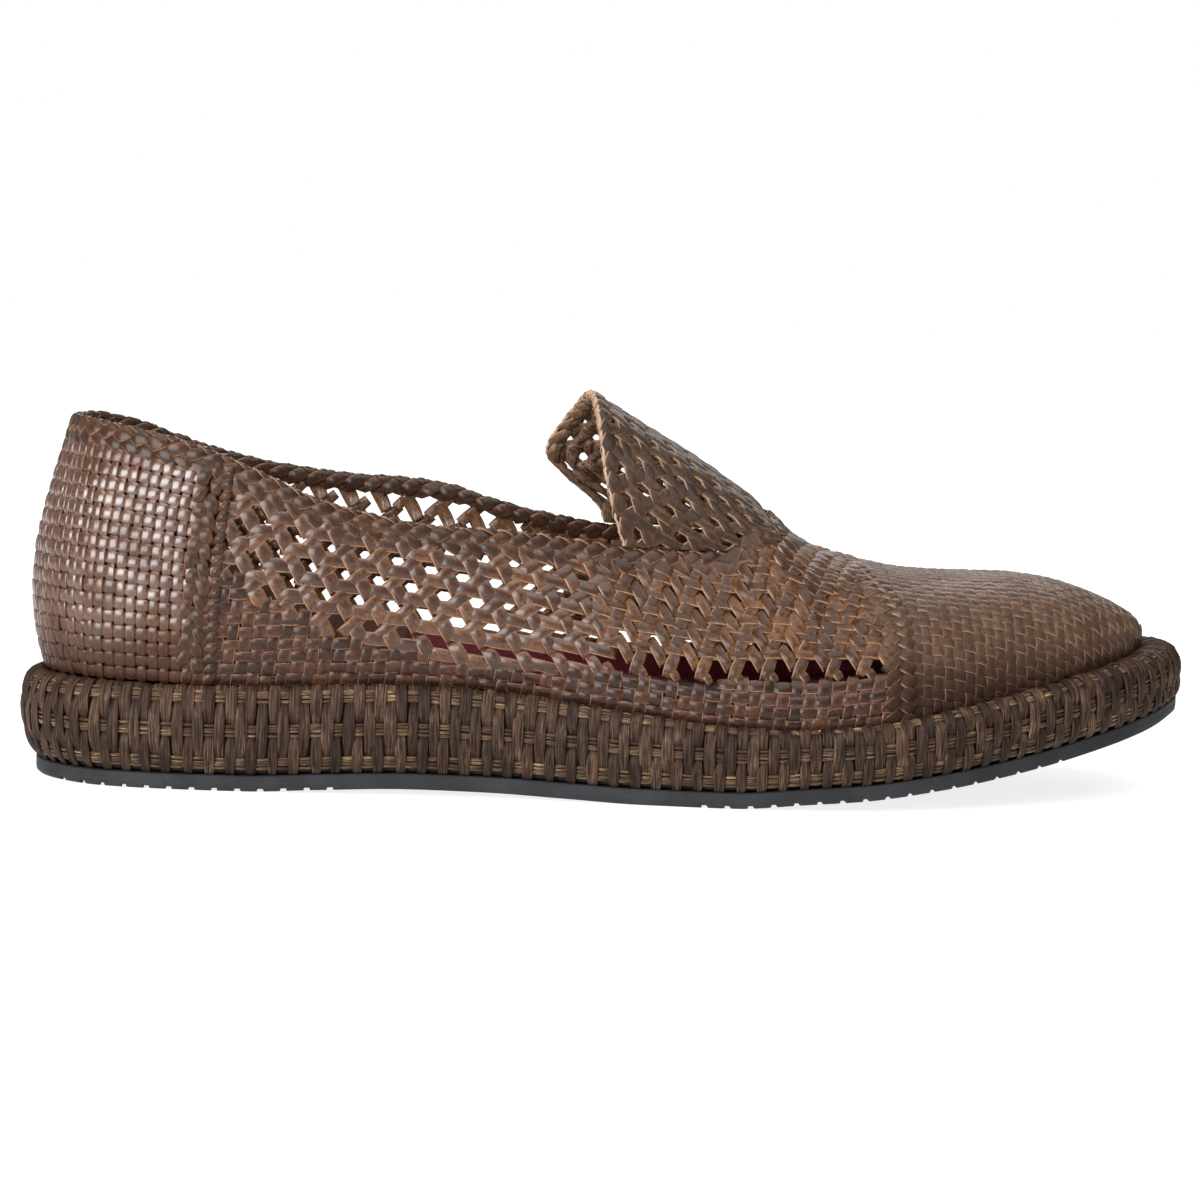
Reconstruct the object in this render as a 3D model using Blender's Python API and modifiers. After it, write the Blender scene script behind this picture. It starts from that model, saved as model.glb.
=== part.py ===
"""A woven leather loafer for the right foot, in five pieces.

Outsole, midsole, insole, upper and tongue are one solid each.  Metres, +Z up.  +X points to
the toe and -Y to the outer (lateral) side.  The origin is on the floor, under the middle of
the shoe's length.  The tables are in millimetres; MM makes them metres as a mesh is built.
"""
import math

import bmesh
import bpy
import numpy as np

MM = 0.001

# Driving sizes, in millimetres.
LENGTH = 305.0
OUTSOLE_THICKNESS = 4.2
INSOLE_THICKNESS = 3.0
UPPER_WALL = 2.0
TONGUE_WALL = 1.8
GAP = 0.3               # clearance between pieces that meet
THROAT_CLEARANCE = 0.9  # along the shoe, where the tongue meets the sloping front of the throat
ROUNDING = 0.01         # two stations closer than this are the same one
WALL_ROWS = 11          # rows of faces from the sole up to the collar or the ridge
TONGUE_ROWS = 8         # rows of faces from the throat out to the tongue's free edge

LATERAL, MEDIAL = -1, 1

# Plan and side view of the sole at stations along the length.  The half widths are those of
# the widest line of the side wall.  "ground" is the underside of the outsole, "feather" the
# top of the midsole, "ledge" how far the widest line stands out past the upper, and "tuck" how
# far it stands out past the outsole.
SOLE = (
    # x, lateral, medial, ground, feather, ledge, tuck
    (-152.5, 0.0, 0.0, 0.0, 27.3, 5.4, 3.4),
    (-146.0, 20.5, 19.5, 0.0, 27.3, 5.4, 3.2),
    (-134.0, 31.5, 30.0, 0.0, 27.1, 5.3, 2.8),
    (-112.0, 37.0, 35.5, 0.0, 26.7, 5.2, 2.3),
    (-95.0, 38.4, 36.0, 0.0, 26.9, 5.3, 2.0),
    (-78.0, 38.8, 35.2, 0.7, 27.5, 5.5, 1.8),
    (-54.0, 39.6, 33.5, 1.5, 27.9, 5.8, 1.6),
    (-34.0, 41.6, 33.4, 1.3, 27.2, 6.0, 1.5),
    (-14.0, 45.2, 35.2, 0.6, 25.1, 6.0, 1.3),
    (5.0, 49.3, 39.2, 0.0, 22.6, 6.0, 1.2),
    (28.0, 53.2, 45.8, 0.0, 20.1, 6.0, 1.1),
    (45.0, 54.6, 50.2, 1.3, 19.7, 6.0, 1.0),
    (62.0, 54.4, 53.3, 2.6, 21.0, 6.2, 0.9),
    (82.0, 51.2, 54.6, 5.3, 24.4, 6.6, 0.8),
    (104.0, 43.2, 50.8, 9.2, 28.9, 7.4, 0.6),
    (126.0, 32.0, 42.6, 14.2, 33.5, 8.4, 0.4),
    (142.0, 18.0, 31.0, 18.2, 36.7, 9.4, 0.2),
    (149.5, 6.0, 19.2, 20.4, 38.1, 10.0, 0.1),
    (152.5, -5.0, 5.0, 21.2, 38.6, 10.2, 0.0),
)

# Where the sections stand, as runs of the outline from heel to toe.
ZONES = (
    # from x, to x, sections
    (-152.5, -100.0, 9),
    (-100.0, 8.0, 13),
    (8.0, 54.0, 9),
    (54.0, 112.0, 8),
    (112.0, 152.5, 11),
)
THROAT_START, THROAT_END = 8.0, 54.0
THROAT_BLEND = 11.0     # stations over which sections turn from the throat to the ridge

# Collar edge of each side.  "station" is the x of the outline where a section starts at the
# sole; x, y and z say where it ends at the top.
COLLAR = {
    LATERAL: (
        # station, x, y, z
        (-152.5, -141.5, 0.0, 92.6),
        (-146.0, -138.0, -13.5, 92.5),
        (-134.0, -127.5, -23.5, 91.2),
        (-112.0, -108.0, -30.5, 86.8),
        (-94.0, -92.5, -32.2, 80.6),
        (-80.0, -79.5, -32.8, 74.8),
        (-66.0, -67.0, -33.0, 71.3),
        (-50.0, -51.5, -33.0, 68.6),
        (-22.0, -25.5, -32.0, 67.0),
        (8.0, 0.0, -28.5, 63.8),
    ),
    MEDIAL: (
        # station, x, y, z
        (-152.5, -141.5, 0.0, 92.6),
        (-146.0, -138.0, 13.0, 92.5),
        (-134.0, -127.5, 23.0, 90.6),
        (-112.0, -108.0, 29.5, 83.8),
        (-94.0, -92.5, 31.0, 79.7),
        (-66.0, -67.0, 31.0, 76.2),
        (-50.0, -51.5, 30.5, 75.4),
        (-40.0, -42.0, 30.0, 74.2),
        (-28.0, -31.0, 29.7, 70.9),
        (-12.0, -16.0, 29.2, 67.4),
        (8.0, 0.4, 28.3, 65.2),
    ),
}

# Throat line, as places on the tongue's arch: "angle" is 0 at the base and 90 on the ridge.
THROAT = (
    # station, x, angle
    (8.0, 0.0, 0.0),
    (20.0, 13.0, 0.0),
    (33.0, 26.0, 0.0),
    (38.0, 30.4, 12.0),
    (43.0, 34.3, 28.0),
    (49.0, 38.6, 54.0),
    (54.0, 41.0, 90.0),
)

# Ridge from the throat to the toe.
RIDGE = (
    # station, x, y, z
    (54.0, 41.0, 0.0, 72.2),
    (62.0, 49.0, 0.2, 65.2),
    (69.0, 55.5, 0.5, 62.3),
    (79.0, 65.5, 1.0, 59.7),
    (90.0, 76.5, 1.5, 57.8),
    (102.0, 88.5, 2.2, 57.1),
    (116.0, 103.0, 3.0, 57.0),
    (129.0, 115.0, 3.6, 55.9),
    (140.0, 125.0, 4.2, 53.3),
    (148.0, 131.0, 4.6, 51.0),
    (152.5, 135.5, 4.8, 48.9),
)

# How each section curves between its two ends: it leaves the sole leaning out by "lean"
# degrees, and reaches the top at "slant" degrees above level.  "rise" and "reach" are the
# lengths of the two handles.
SHAPE = (
    # station, rise, lean, reach, slant
    (-152.5, 25.0, 20.0, 22.0, 74.0),
    (-134.0, 24.0, 17.0, 21.0, 77.0),
    (-112.0, 21.0, 16.0, 19.0, 79.0),
    (-80.0, 16.0, 15.0, 15.0, 80.0),
    (-22.0, 15.0, 15.0, 14.0, 74.0),
    (8.0, 17.0, 13.0, 14.0, 72.0),
    (33.0, 17.0, 11.0, 13.0, 66.0),
    (43.0, 13.0, 10.0, 11.0, 44.0),
    (49.0, 14.5, 10.0, 16.0, 22.0),
    (54.0, 19.0, 9.0, 26.0, 0.0),
    (66.0, 21.0, 9.0, 29.0, 0.0),
    (84.0, 20.0, 9.0, 28.0, 0.0),
    (110.0, 14.5, 10.0, 26.0, 0.0),
    (138.0, 8.5, 14.0, 17.0, 0.0),
    (152.5, 6.5, 14.0, 5.5, 0.0),
)

# The tongue is an arch over the foot: half width and height of its base, height of its ridge.
ARCH = (
    # x, half width, lateral base, medial base, ridge
    (-17.0, 28.5, 63.8, 65.2, 108.4),
    (-6.4, 28.5, 63.8, 65.2, 102.2),
    (6.4, 28.5, 63.5, 65.0, 94.6),
    (22.5, 28.0, 63.2, 64.6, 85.1),
    (33.3, 27.0, 63.2, 64.0, 77.8),
    (41.0, 26.0, 63.2, 63.6, 72.2),
)

# Free edge of the tongue around the arch.
EDGE = {
    LATERAL: (
        # angle, x
        (0.0, 0.5),
        (16.0, -2.6),
        (36.0, -5.0),
        (90.0, -6.4),
    ),
    MEDIAL: (
        # angle, x
        (0.0, 0.4),
        (9.0, -1.8),
        (18.0, -9.6),
        (27.0, -16.3),
        (45.0, -12.2),
        (60.0, -9.2),
        (90.0, -6.4),
    ),
}
EDGE_FIRST_ANGLE = 5.0

# Side walls as rings, from the bottom up: share of the height, and how far the ring lies
# inside the widest line.
MIDSOLE_RINGS = (
    # height, share of the tuck, inset
    (0.00, 1.00, 0.3),
    (0.16, 0.60, 0.0),
    (0.38, 0.15, 0.0),
    (0.60, 0.00, 0.0),
    (0.80, 0.00, 0.5),
    (0.92, 0.00, 1.6),
    (1.00, 0.00, 3.8),
)
OUTSOLE_RINGS = (
    # height, share of the tuck, inset
    (0.00, 1.00, 1.2),
    (0.25, 1.00, 0.0),
    (1.00, 1.00, 0.0),
)
INSOLE_RINGS = (
    # height, inset past the upper's wall
    (0.00, 0.6),
    (0.70, 0.6),
    (1.00, 1.4),
)


def smooth(knots, values, at):
    """Monotone cubic through the knots: flats stay flat and nothing overshoots."""
    knots = np.asarray(knots, float)
    values = np.asarray(values, float)
    at = np.asarray(at, float)
    step = np.diff(knots)
    slope = np.diff(values) / step
    tangent = np.zeros_like(values)
    tangent[0] = slope[0]
    tangent[-1] = slope[-1]
    for i in range(1, len(knots) - 1):
        if slope[i - 1] * slope[i] > 0.0:
            before = 2.0 * step[i] + step[i - 1]
            after = step[i] + 2.0 * step[i - 1]
            tangent[i] = (before + after) / (before / slope[i - 1] + after / slope[i])
    i = np.clip(np.searchsorted(knots, at, side="right") - 1, 0, len(step) - 1)
    t = np.clip((at - knots[i]) / step[i], 0.0, 1.0)
    return (
        (1.0 + 2.0 * t) * (1.0 - t) ** 2 * values[i]
        + t * (1.0 - t) ** 2 * step[i] * tangent[i]
        + t * t * (3.0 - 2.0 * t) * values[i + 1]
        - t * t * (1.0 - t) * step[i] * tangent[i + 1]
    )


def column(table, index):
    return [row[index] for row in table]


def swing(x):
    """Angle that is 0 at the heel and pi at the toe, so that both ends come out round."""
    return np.arccos(np.clip(-2.0 * np.asarray(x, float) / LENGTH, -1.0, 1.0))


def sole_value(x, index):
    return smooth(column(SOLE, 0), column(SOLE, index), x)


def stations():
    """x of every section from heel to toe, closer together where the outline turns."""
    runs = [np.array([ZONES[0][0]])]
    for start, end, count in ZONES:
        angles = np.linspace(swing(start), swing(end), count + 1)[1:]
        runs.append(-0.5 * LENGTH * np.cos(angles))
    return np.concatenate(runs)


def outline(side, x):
    """Plan of the widest line on one side, and its outward normal."""
    index = 1 if side == LATERAL else 2
    angles = swing(column(SOLE, 0))

    def place(angle):
        width = smooth(angles, column(SOLE, index), angle)
        return np.stack([-0.5 * LENGTH * np.cos(angle), side * width], axis=-1)

    angle = swing(x)
    small = 1e-3
    along = place(np.minimum(angle + small, math.pi)) - place(np.maximum(angle - small, 0.0))
    normal = np.stack([along[..., 1], -along[..., 0]], axis=-1) * -side
    normal[0] = (-1.0, 0.0)
    normal[-1] = (1.0, 0.0)
    normal /= np.linalg.norm(normal, axis=-1, keepdims=True)
    return place(angle), normal


def inset_outline(side, x, inset):
    """The outline moved in by a distance that may change along the shoe."""
    place, normal = outline(side, x)
    return place - normal * np.reshape(inset, (-1, 1))


def arch_size(side, x):
    """Half width, base height and rise of the tongue's arch."""
    xs = column(ARCH, 0)
    width = smooth(xs, column(ARCH, 1), x)
    base = smooth(xs, column(ARCH, 2 if side == LATERAL else 3), x)
    return width, base, smooth(xs, column(ARCH, 4), x) - base


def arch(side, x, angle):
    """Point on the tongue's arch."""
    width, base, rise = arch_size(side, x)
    turn = np.radians(angle)
    return np.stack([x, side * width * np.cos(turn), base + rise * np.sin(turn)], axis=-1)


def throat_place(station):
    """x and arch angle of the throat line at a section."""
    knots = column(THROAT, 0)
    return smooth(knots, column(THROAT, 1), station), smooth(knots, column(THROAT, 2), station)


def top_line(side, station):
    """Where each section ends: on the collar, on the throat line or on the ridge."""
    def read(table):
        knots = swing(column(table, 0))
        at = swing(station)
        return np.stack([smooth(knots, column(table, i), at) for i in (1, 2, 3)], axis=-1)

    x, angle = throat_place(station)
    collar = (station < THROAT_START)[:, None]
    throat = (station < THROAT_END)[:, None]
    return np.where(collar, read(COLLAR[side]), np.where(throat, arch(side, x, angle), read(RIDGE)))


def upper_surface(side, station, rows):
    """Outer surface of one side of the upper: an array of sections by rows by 3."""
    place, normal = outline(side, station)
    ledge = sole_value(station, 5)
    foot = place - normal * ledge[:, None]
    foot = np.column_stack([foot, sole_value(foot[:, 0], 4) + GAP])
    top = top_line(side, station)

    knots = swing(column(SHAPE, 0))
    at = swing(station)
    rise, lean, reach, slant = (smooth(knots, column(SHAPE, i), at)[:, None] for i in (1, 2, 3, 4))
    lean = np.radians(lean)
    slant = np.radians(slant)
    out = np.column_stack([normal, np.zeros(len(station))])
    up = np.array([0.0, 0.0, 1.0])

    on_ridge = station >= THROAT_END
    fall = np.gradient(top[on_ridge, 2]) / np.gradient(top[on_ridge, 0])
    joining = np.clip(1.0 - (THROAT_END - station) / THROAT_BLEND, 0.0, 1.0)
    ridge_fall = fall[0] * joining ** 2 * (3.0 - 2.0 * joining)
    ridge_fall[on_ridge] = fall
    inward = top[:, :2] - foot[:, :2]
    inward /= np.linalg.norm(inward, axis=1, keepdims=True)
    arrive = np.column_stack([inward, ridge_fall * inward[:, 0]]) * np.cos(slant) + up * np.sin(slant)

    low = foot + rise * (out * np.sin(lean) + up * np.cos(lean))
    high = top - reach * arrive
    t = np.linspace(0.0, 1.0, rows + 1)[None, :, None]
    foot, low, high, top = (point[:, None, :] for point in (foot, low, high, top))
    return (1 - t) ** 3 * foot + 3 * (1 - t) ** 2 * t * low + 3 * (1 - t) * t * t * high + t ** 3 * top


def tongue_surface(side, rows):
    """Outer surface of one half of the tongue, from the throat line to the free edge."""
    station = stations()
    station = station[(station > THROAT_START - ROUNDING) & (station < THROAT_END + ROUNDING)]
    share = np.linspace(0.0, 1.0, len(station))
    start_x, start_angle = throat_place(station)
    clear = np.degrees(1.3 * GAP / arch_size(side, start_x)[2])
    start_x = start_x - THROAT_CLEARANCE * np.sin(np.radians(start_angle))
    start_angle = np.minimum(start_angle + clear, 90.0)
    end_angle = EDGE_FIRST_ANGLE + (90.0 - EDGE_FIRST_ANGLE) * share
    end_x = smooth(column(EDGE[side], 0), column(EDGE[side], 1), end_angle)
    t = np.linspace(0.0, 1.0, rows + 1)[None, :]
    x = start_x[:, None] * (1 - t) + end_x[:, None] * t
    angle = start_angle[:, None] * (1 - t) + end_angle[:, None] * t
    return arch(side, x, angle)


def material(name, colour, roughness):
    made = bpy.data.materials.new(name)
    made.use_nodes = True
    shader = made.node_tree.nodes["Principled BSDF"]
    shader.inputs["Base Color"].default_value = (*colour, 1.0)
    shader.inputs["Roughness"].default_value = roughness
    made.diffuse_color = (*colour, 1.0)
    return made


def add_object(name, mesh_data, collection, finish):
    """Turn a bmesh into a named object, with doubled points merged and normals outward."""
    bmesh.ops.remove_doubles(mesh_data, verts=mesh_data.verts, dist=0.01 * MM)
    bmesh.ops.recalc_face_normals(mesh_data, faces=mesh_data.faces)
    mesh = bpy.data.meshes.new(name)
    mesh_data.to_mesh(mesh)
    mesh_data.free()
    mesh.materials.append(finish)
    mesh.shade_smooth()
    made = bpy.data.objects.new(name, mesh)
    collection.objects.link(made)
    return made


def add_grid(mesh_data, points):
    """Quads over an array of columns by rows by 3, in millimetres."""
    verts = [[mesh_data.verts.new(point * MM) for point in line] for line in points]
    for left, right in zip(verts, verts[1:]):
        for low in range(len(left) - 1):
            mesh_data.faces.new((left[low], right[low], right[low + 1], left[low + 1]))


def solid_from_rings(name, rings, collection, finish):
    """Close a stack of rings, each given as its lateral and its medial half from heel to toe."""
    mesh_data = bmesh.new()
    loops = []
    for lateral, medial in rings:
        left = [mesh_data.verts.new(point * MM) for point in lateral]
        right = [mesh_data.verts.new(point * MM) for point in medial[1:-1]]
        loops.append((left, [left[0], *right, left[-1]]))
    for (left_low, right_low), (left_high, right_high) in zip(loops, loops[1:]):
        for low, high in ((left_low, left_high), (right_high, right_low)):
            for i in range(len(low) - 1):
                mesh_data.faces.new((low[i], low[i + 1], high[i + 1], high[i]))
    for left, right in (loops[0], loops[-1]):
        last = len(left) - 1
        for i in range(last):
            corners = [left[i], left[i + 1]]
            corners += [right[i + 1]] if i + 1 < last else []
            corners += [right[i]] if i > 0 else []
            mesh_data.faces.new(corners)
    return add_object(name, mesh_data, collection, finish)


def ring(x, inset, height):
    """One ring of a side wall; height is a function of x."""
    halves = []
    for side in (LATERAL, MEDIAL):
        plan = inset_outline(side, x, inset)
        halves.append(np.column_stack([plan, height(plan[:, 0])]))
    return halves


def make_outsole(collection):
    x = stations()
    tuck = sole_value(x, 6)
    rings = [
        ring(x, share * tuck + inset,
             lambda at, height=height: sole_value(at, 3) + height * OUTSOLE_THICKNESS)
        for height, share, inset in OUTSOLE_RINGS
    ]
    return solid_from_rings("outsole", rings, collection, material("rubber", (0.07, 0.075, 0.08), 0.6))


def make_midsole(collection):
    x = stations()
    tuck = sole_value(x, 6)

    def level(height):
        def at(place):
            low = sole_value(place, 3) + OUTSOLE_THICKNESS + GAP
            return low + height * (sole_value(place, 4) - low)
        return at

    rings = [ring(x, share * tuck + inset, level(height)) for height, share, inset in MIDSOLE_RINGS]
    return solid_from_rings("midsole", rings, collection, material("raffia", (0.14, 0.09, 0.055), 0.7))


def make_insole(collection):
    x = stations()
    ledge = sole_value(x, 5)
    rings = [
        ring(x, ledge + UPPER_WALL + inset,
             lambda at, share=share: sole_value(at, 4) + GAP + share * INSOLE_THICKNESS)
        for share, inset in INSOLE_RINGS
    ]
    return solid_from_rings("insole", rings, collection, material("sock", (0.09, 0.012, 0.03), 0.5))


def make_wall(name, surfaces, thickness, collection, finish):
    """A shell of the given thickness inside an outer surface made of two halves."""
    mesh_data = bmesh.new()
    for points in surfaces:
        add_grid(mesh_data, points)
    made = add_object(name, mesh_data, collection, finish)
    solidify = made.modifiers.new("wall", "SOLIDIFY")
    solidify.thickness = thickness * MM
    solidify.offset = -1.0
    solidify.use_even_offset = True
    solidify.use_rim = True
    return made


def make_upper(collection):
    leather = material("leather", (0.11, 0.06, 0.035), 0.45)
    surfaces = [upper_surface(side, stations(), WALL_ROWS) for side in (LATERAL, MEDIAL)]
    return make_wall("upper", surfaces, UPPER_WALL, collection, leather)


def make_tongue(collection):
    leather = material("tongue_leather", (0.1, 0.06, 0.04), 0.5)
    surfaces = [tongue_surface(side, TONGUE_ROWS) for side in (LATERAL, MEDIAL)]
    return make_wall("tongue", surfaces, TONGUE_WALL, collection, leather)


def main():
    for old in list(bpy.data.objects):
        bpy.data.objects.remove(old)
    loafer = bpy.data.collections.new("loafer")
    bpy.context.scene.collection.children.link(loafer)
    make_outsole(loafer)
    make_midsole(loafer)
    make_insole(loafer)
    make_upper(loafer)
    make_tongue(loafer)


main()
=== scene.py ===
"""The finished look of a plaited leather loafer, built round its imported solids.

Every strip of the plait, every strand of the sole's wrapping and every cane under it is a
mesh of its own, laid on the same curves as the solids.  Lengths here are in millimetres, and
MM makes them metres as a mesh is built.  +X points to the toe, -Y to the outer side.
"""
import math

import bmesh
import bpy
import numpy as np
from mathutils import Matrix, Vector


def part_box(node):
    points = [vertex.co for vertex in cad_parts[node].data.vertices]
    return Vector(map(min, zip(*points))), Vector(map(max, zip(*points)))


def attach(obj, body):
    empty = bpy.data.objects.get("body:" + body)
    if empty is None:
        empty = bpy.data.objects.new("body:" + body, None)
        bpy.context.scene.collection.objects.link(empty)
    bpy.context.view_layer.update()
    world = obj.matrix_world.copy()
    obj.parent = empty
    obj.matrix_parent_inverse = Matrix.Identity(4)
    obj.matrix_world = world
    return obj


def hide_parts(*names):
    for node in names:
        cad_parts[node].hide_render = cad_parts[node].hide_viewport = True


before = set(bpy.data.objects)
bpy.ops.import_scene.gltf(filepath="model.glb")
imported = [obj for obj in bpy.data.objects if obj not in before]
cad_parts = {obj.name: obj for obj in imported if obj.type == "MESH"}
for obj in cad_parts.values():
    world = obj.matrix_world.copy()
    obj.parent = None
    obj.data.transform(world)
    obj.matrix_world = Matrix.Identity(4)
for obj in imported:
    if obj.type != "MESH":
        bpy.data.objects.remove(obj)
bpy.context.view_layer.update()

MM = 0.001
LATERAL, MEDIAL = -1, 1
SIDES = (LATERAL, MEDIAL)
NAMES = {LATERAL: "outer", MEDIAL: "inner"}
rng = np.random.default_rng(7)


def add_object(name, data):
    made = bpy.data.objects.new(name, data)
    bpy.context.scene.collection.objects.link(made)
    return made



# ----------------------------------------
# The last.  These sizes, tables and functions are the solids' own.

LENGTH = (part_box("midsole")[1][0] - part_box("midsole")[0][0]) / MM
OUTSOLE_THICKNESS = 4.2
INSOLE_THICKNESS = 3.0
UPPER_WALL = 2.0
GAP = 0.3

# Plan and side view of the sole at stations along the length.  The half widths are those of
# the widest line of the side wall.  "ground" is the underside of the outsole, "feather" the
# top of the midsole, "ledge" how far the widest line stands out past the upper, and "tuck" how
# far it stands out past the outsole.
SOLE = (
    # x, lateral, medial, ground, feather, ledge, tuck
    (-152.5, 0.0, 0.0, 0.0, 27.3, 5.4, 3.4),
    (-146.0, 20.5, 19.5, 0.0, 27.3, 5.4, 3.2),
    (-134.0, 31.5, 30.0, 0.0, 27.1, 5.3, 2.8),
    (-112.0, 37.0, 35.5, 0.0, 26.7, 5.2, 2.3),
    (-95.0, 38.4, 36.0, 0.0, 26.9, 5.3, 2.0),
    (-78.0, 38.8, 35.2, 0.7, 27.5, 5.5, 1.8),
    (-54.0, 39.6, 33.5, 1.5, 27.9, 5.8, 1.6),
    (-34.0, 41.6, 33.4, 1.3, 27.2, 6.0, 1.5),
    (-14.0, 45.2, 35.2, 0.6, 25.1, 6.0, 1.3),
    (5.0, 49.3, 39.2, 0.0, 22.6, 6.0, 1.2),
    (28.0, 53.2, 45.8, 0.0, 20.1, 6.0, 1.1),
    (45.0, 54.6, 50.2, 1.3, 19.7, 6.0, 1.0),
    (62.0, 54.4, 53.3, 2.6, 21.0, 6.2, 0.9),
    (82.0, 51.2, 54.6, 5.3, 24.4, 6.6, 0.8),
    (104.0, 43.2, 50.8, 9.2, 28.9, 7.4, 0.6),
    (126.0, 32.0, 42.6, 14.2, 33.5, 8.4, 0.4),
    (142.0, 18.0, 31.0, 18.2, 36.7, 9.4, 0.2),
    (149.5, 6.0, 19.2, 20.4, 38.1, 10.0, 0.1),
    (152.5, -5.0, 5.0, 21.2, 38.6, 10.2, 0.0),
)
THROAT_START, THROAT_END = 8.0, 54.0
THROAT_BLEND = 11.0     # stations over which sections turn from the throat to the ridge

# Collar edge of each side.  "station" is the x of the outline where a section starts at the
# sole; x, y and z say where it ends at the top.
COLLAR = {
    LATERAL: (
        # station, x, y, z
        (-152.5, -141.5, 0.0, 92.6),
        (-146.0, -138.0, -13.5, 92.5),
        (-134.0, -127.5, -23.5, 91.2),
        (-112.0, -108.0, -30.5, 86.8),
        (-94.0, -92.5, -32.2, 80.6),
        (-80.0, -79.5, -32.8, 74.8),
        (-66.0, -67.0, -33.0, 71.3),
        (-50.0, -51.5, -33.0, 68.6),
        (-22.0, -25.5, -32.0, 67.0),
        (8.0, 0.0, -28.5, 63.8),
    ),
    MEDIAL: (
        # station, x, y, z
        (-152.5, -141.5, 0.0, 92.6),
        (-146.0, -138.0, 13.0, 92.5),
        (-134.0, -127.5, 23.0, 90.6),
        (-112.0, -108.0, 29.5, 83.8),
        (-94.0, -92.5, 31.0, 79.7),
        (-66.0, -67.0, 31.0, 76.2),
        (-50.0, -51.5, 30.5, 75.4),
        (-40.0, -42.0, 30.0, 74.2),
        (-28.0, -31.0, 29.7, 70.9),
        (-12.0, -16.0, 29.2, 67.4),
        (8.0, 0.4, 28.3, 65.2),
    ),
}

# Throat line, as places on the tongue's arch: "angle" is 0 at the base and 90 on the ridge.
THROAT = (
    # station, x, angle
    (8.0, 0.0, 0.0),
    (20.0, 13.0, 0.0),
    (33.0, 26.0, 0.0),
    (38.0, 30.4, 12.0),
    (43.0, 34.3, 28.0),
    (49.0, 38.6, 54.0),
    (54.0, 41.0, 90.0),
)

# Ridge from the throat to the toe.
RIDGE = (
    # station, x, y, z
    (54.0, 41.0, 0.0, 72.2),
    (62.0, 49.0, 0.2, 65.2),
    (69.0, 55.5, 0.5, 62.3),
    (79.0, 65.5, 1.0, 59.7),
    (90.0, 76.5, 1.5, 57.8),
    (102.0, 88.5, 2.2, 57.1),
    (116.0, 103.0, 3.0, 57.0),
    (129.0, 115.0, 3.6, 55.9),
    (140.0, 125.0, 4.2, 53.3),
    (148.0, 131.0, 4.6, 51.0),
    (152.5, 135.5, 4.8, 48.9),
)

# How each section curves between its two ends: it leaves the sole leaning out by "lean"
# degrees, and reaches the top at "slant" degrees above level.  "rise" and "reach" are the
# lengths of the two handles.
SHAPE = (
    # station, rise, lean, reach, slant
    (-152.5, 25.0, 20.0, 22.0, 74.0),
    (-134.0, 24.0, 17.0, 21.0, 77.0),
    (-112.0, 21.0, 16.0, 19.0, 79.0),
    (-80.0, 16.0, 15.0, 15.0, 80.0),
    (-22.0, 15.0, 15.0, 14.0, 74.0),
    (8.0, 17.0, 13.0, 14.0, 72.0),
    (33.0, 17.0, 11.0, 13.0, 66.0),
    (43.0, 13.0, 10.0, 11.0, 44.0),
    (49.0, 14.5, 10.0, 16.0, 22.0),
    (54.0, 19.0, 9.0, 26.0, 0.0),
    (66.0, 21.0, 9.0, 29.0, 0.0),
    (84.0, 20.0, 9.0, 28.0, 0.0),
    (110.0, 14.5, 10.0, 26.0, 0.0),
    (138.0, 8.5, 14.0, 17.0, 0.0),
    (152.5, 6.5, 14.0, 5.5, 0.0),
)

# The tongue is an arch over the foot: half width and height of its base, height of its ridge.
ARCH = (
    # x, half width, lateral base, medial base, ridge
    (-17.0, 28.5, 63.8, 65.2, 108.4),
    (-6.4, 28.5, 63.8, 65.2, 102.2),
    (6.4, 28.5, 63.5, 65.0, 94.6),
    (22.5, 28.0, 63.2, 64.6, 85.1),
    (33.3, 27.0, 63.2, 64.0, 77.8),
    (41.0, 26.0, 63.2, 63.6, 72.2),
)

# Free edge of the tongue around the arch.
EDGE = {
    LATERAL: (
        # angle, x
        (0.0, 0.5),
        (16.0, -2.6),
        (36.0, -5.0),
        (90.0, -6.4),
    ),
    MEDIAL: (
        # angle, x
        (0.0, 0.4),
        (9.0, -1.8),
        (18.0, -9.6),
        (27.0, -16.3),
        (45.0, -12.2),
        (60.0, -9.2),
        (90.0, -6.4),
    ),
}

# Side wall of the midsole, from the bottom up: share of the height, share of the tuck, and
# how far it lies inside the widest line.
MIDSOLE_WALL = (
    # height, share of the tuck, inset
    (0.00, 1.00, 0.3),
    (0.16, 0.60, 0.0),
    (0.38, 0.15, 0.0),
    (0.60, 0.00, 0.0),
    (0.80, 0.00, 0.5),
    (0.92, 0.00, 1.6),
    (1.00, 0.00, 3.8),
)


def unit(vectors):
    return vectors / np.maximum(np.linalg.norm(vectors, axis=-1, keepdims=True), 1e-9)


def beside(*values):
    """Values side by side along a new last axis, stretched to one shape."""
    return np.stack(np.broadcast_arrays(*values), axis=-1)


def run_along(line):
    """Distance along a line of points, from its first."""
    return np.concatenate([[0.0], np.cumsum(np.linalg.norm(np.diff(line, axis=0), axis=-1))])


def resample(at, knots, values):
    """Rows of values, of any shape, read at other places between their knots."""
    flat = values.reshape(len(values), -1)
    flat = beside(*(np.interp(at, knots, flat[:, i]) for i in range(flat.shape[1])))
    return flat.reshape(len(at), *values.shape[1:])


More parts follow.
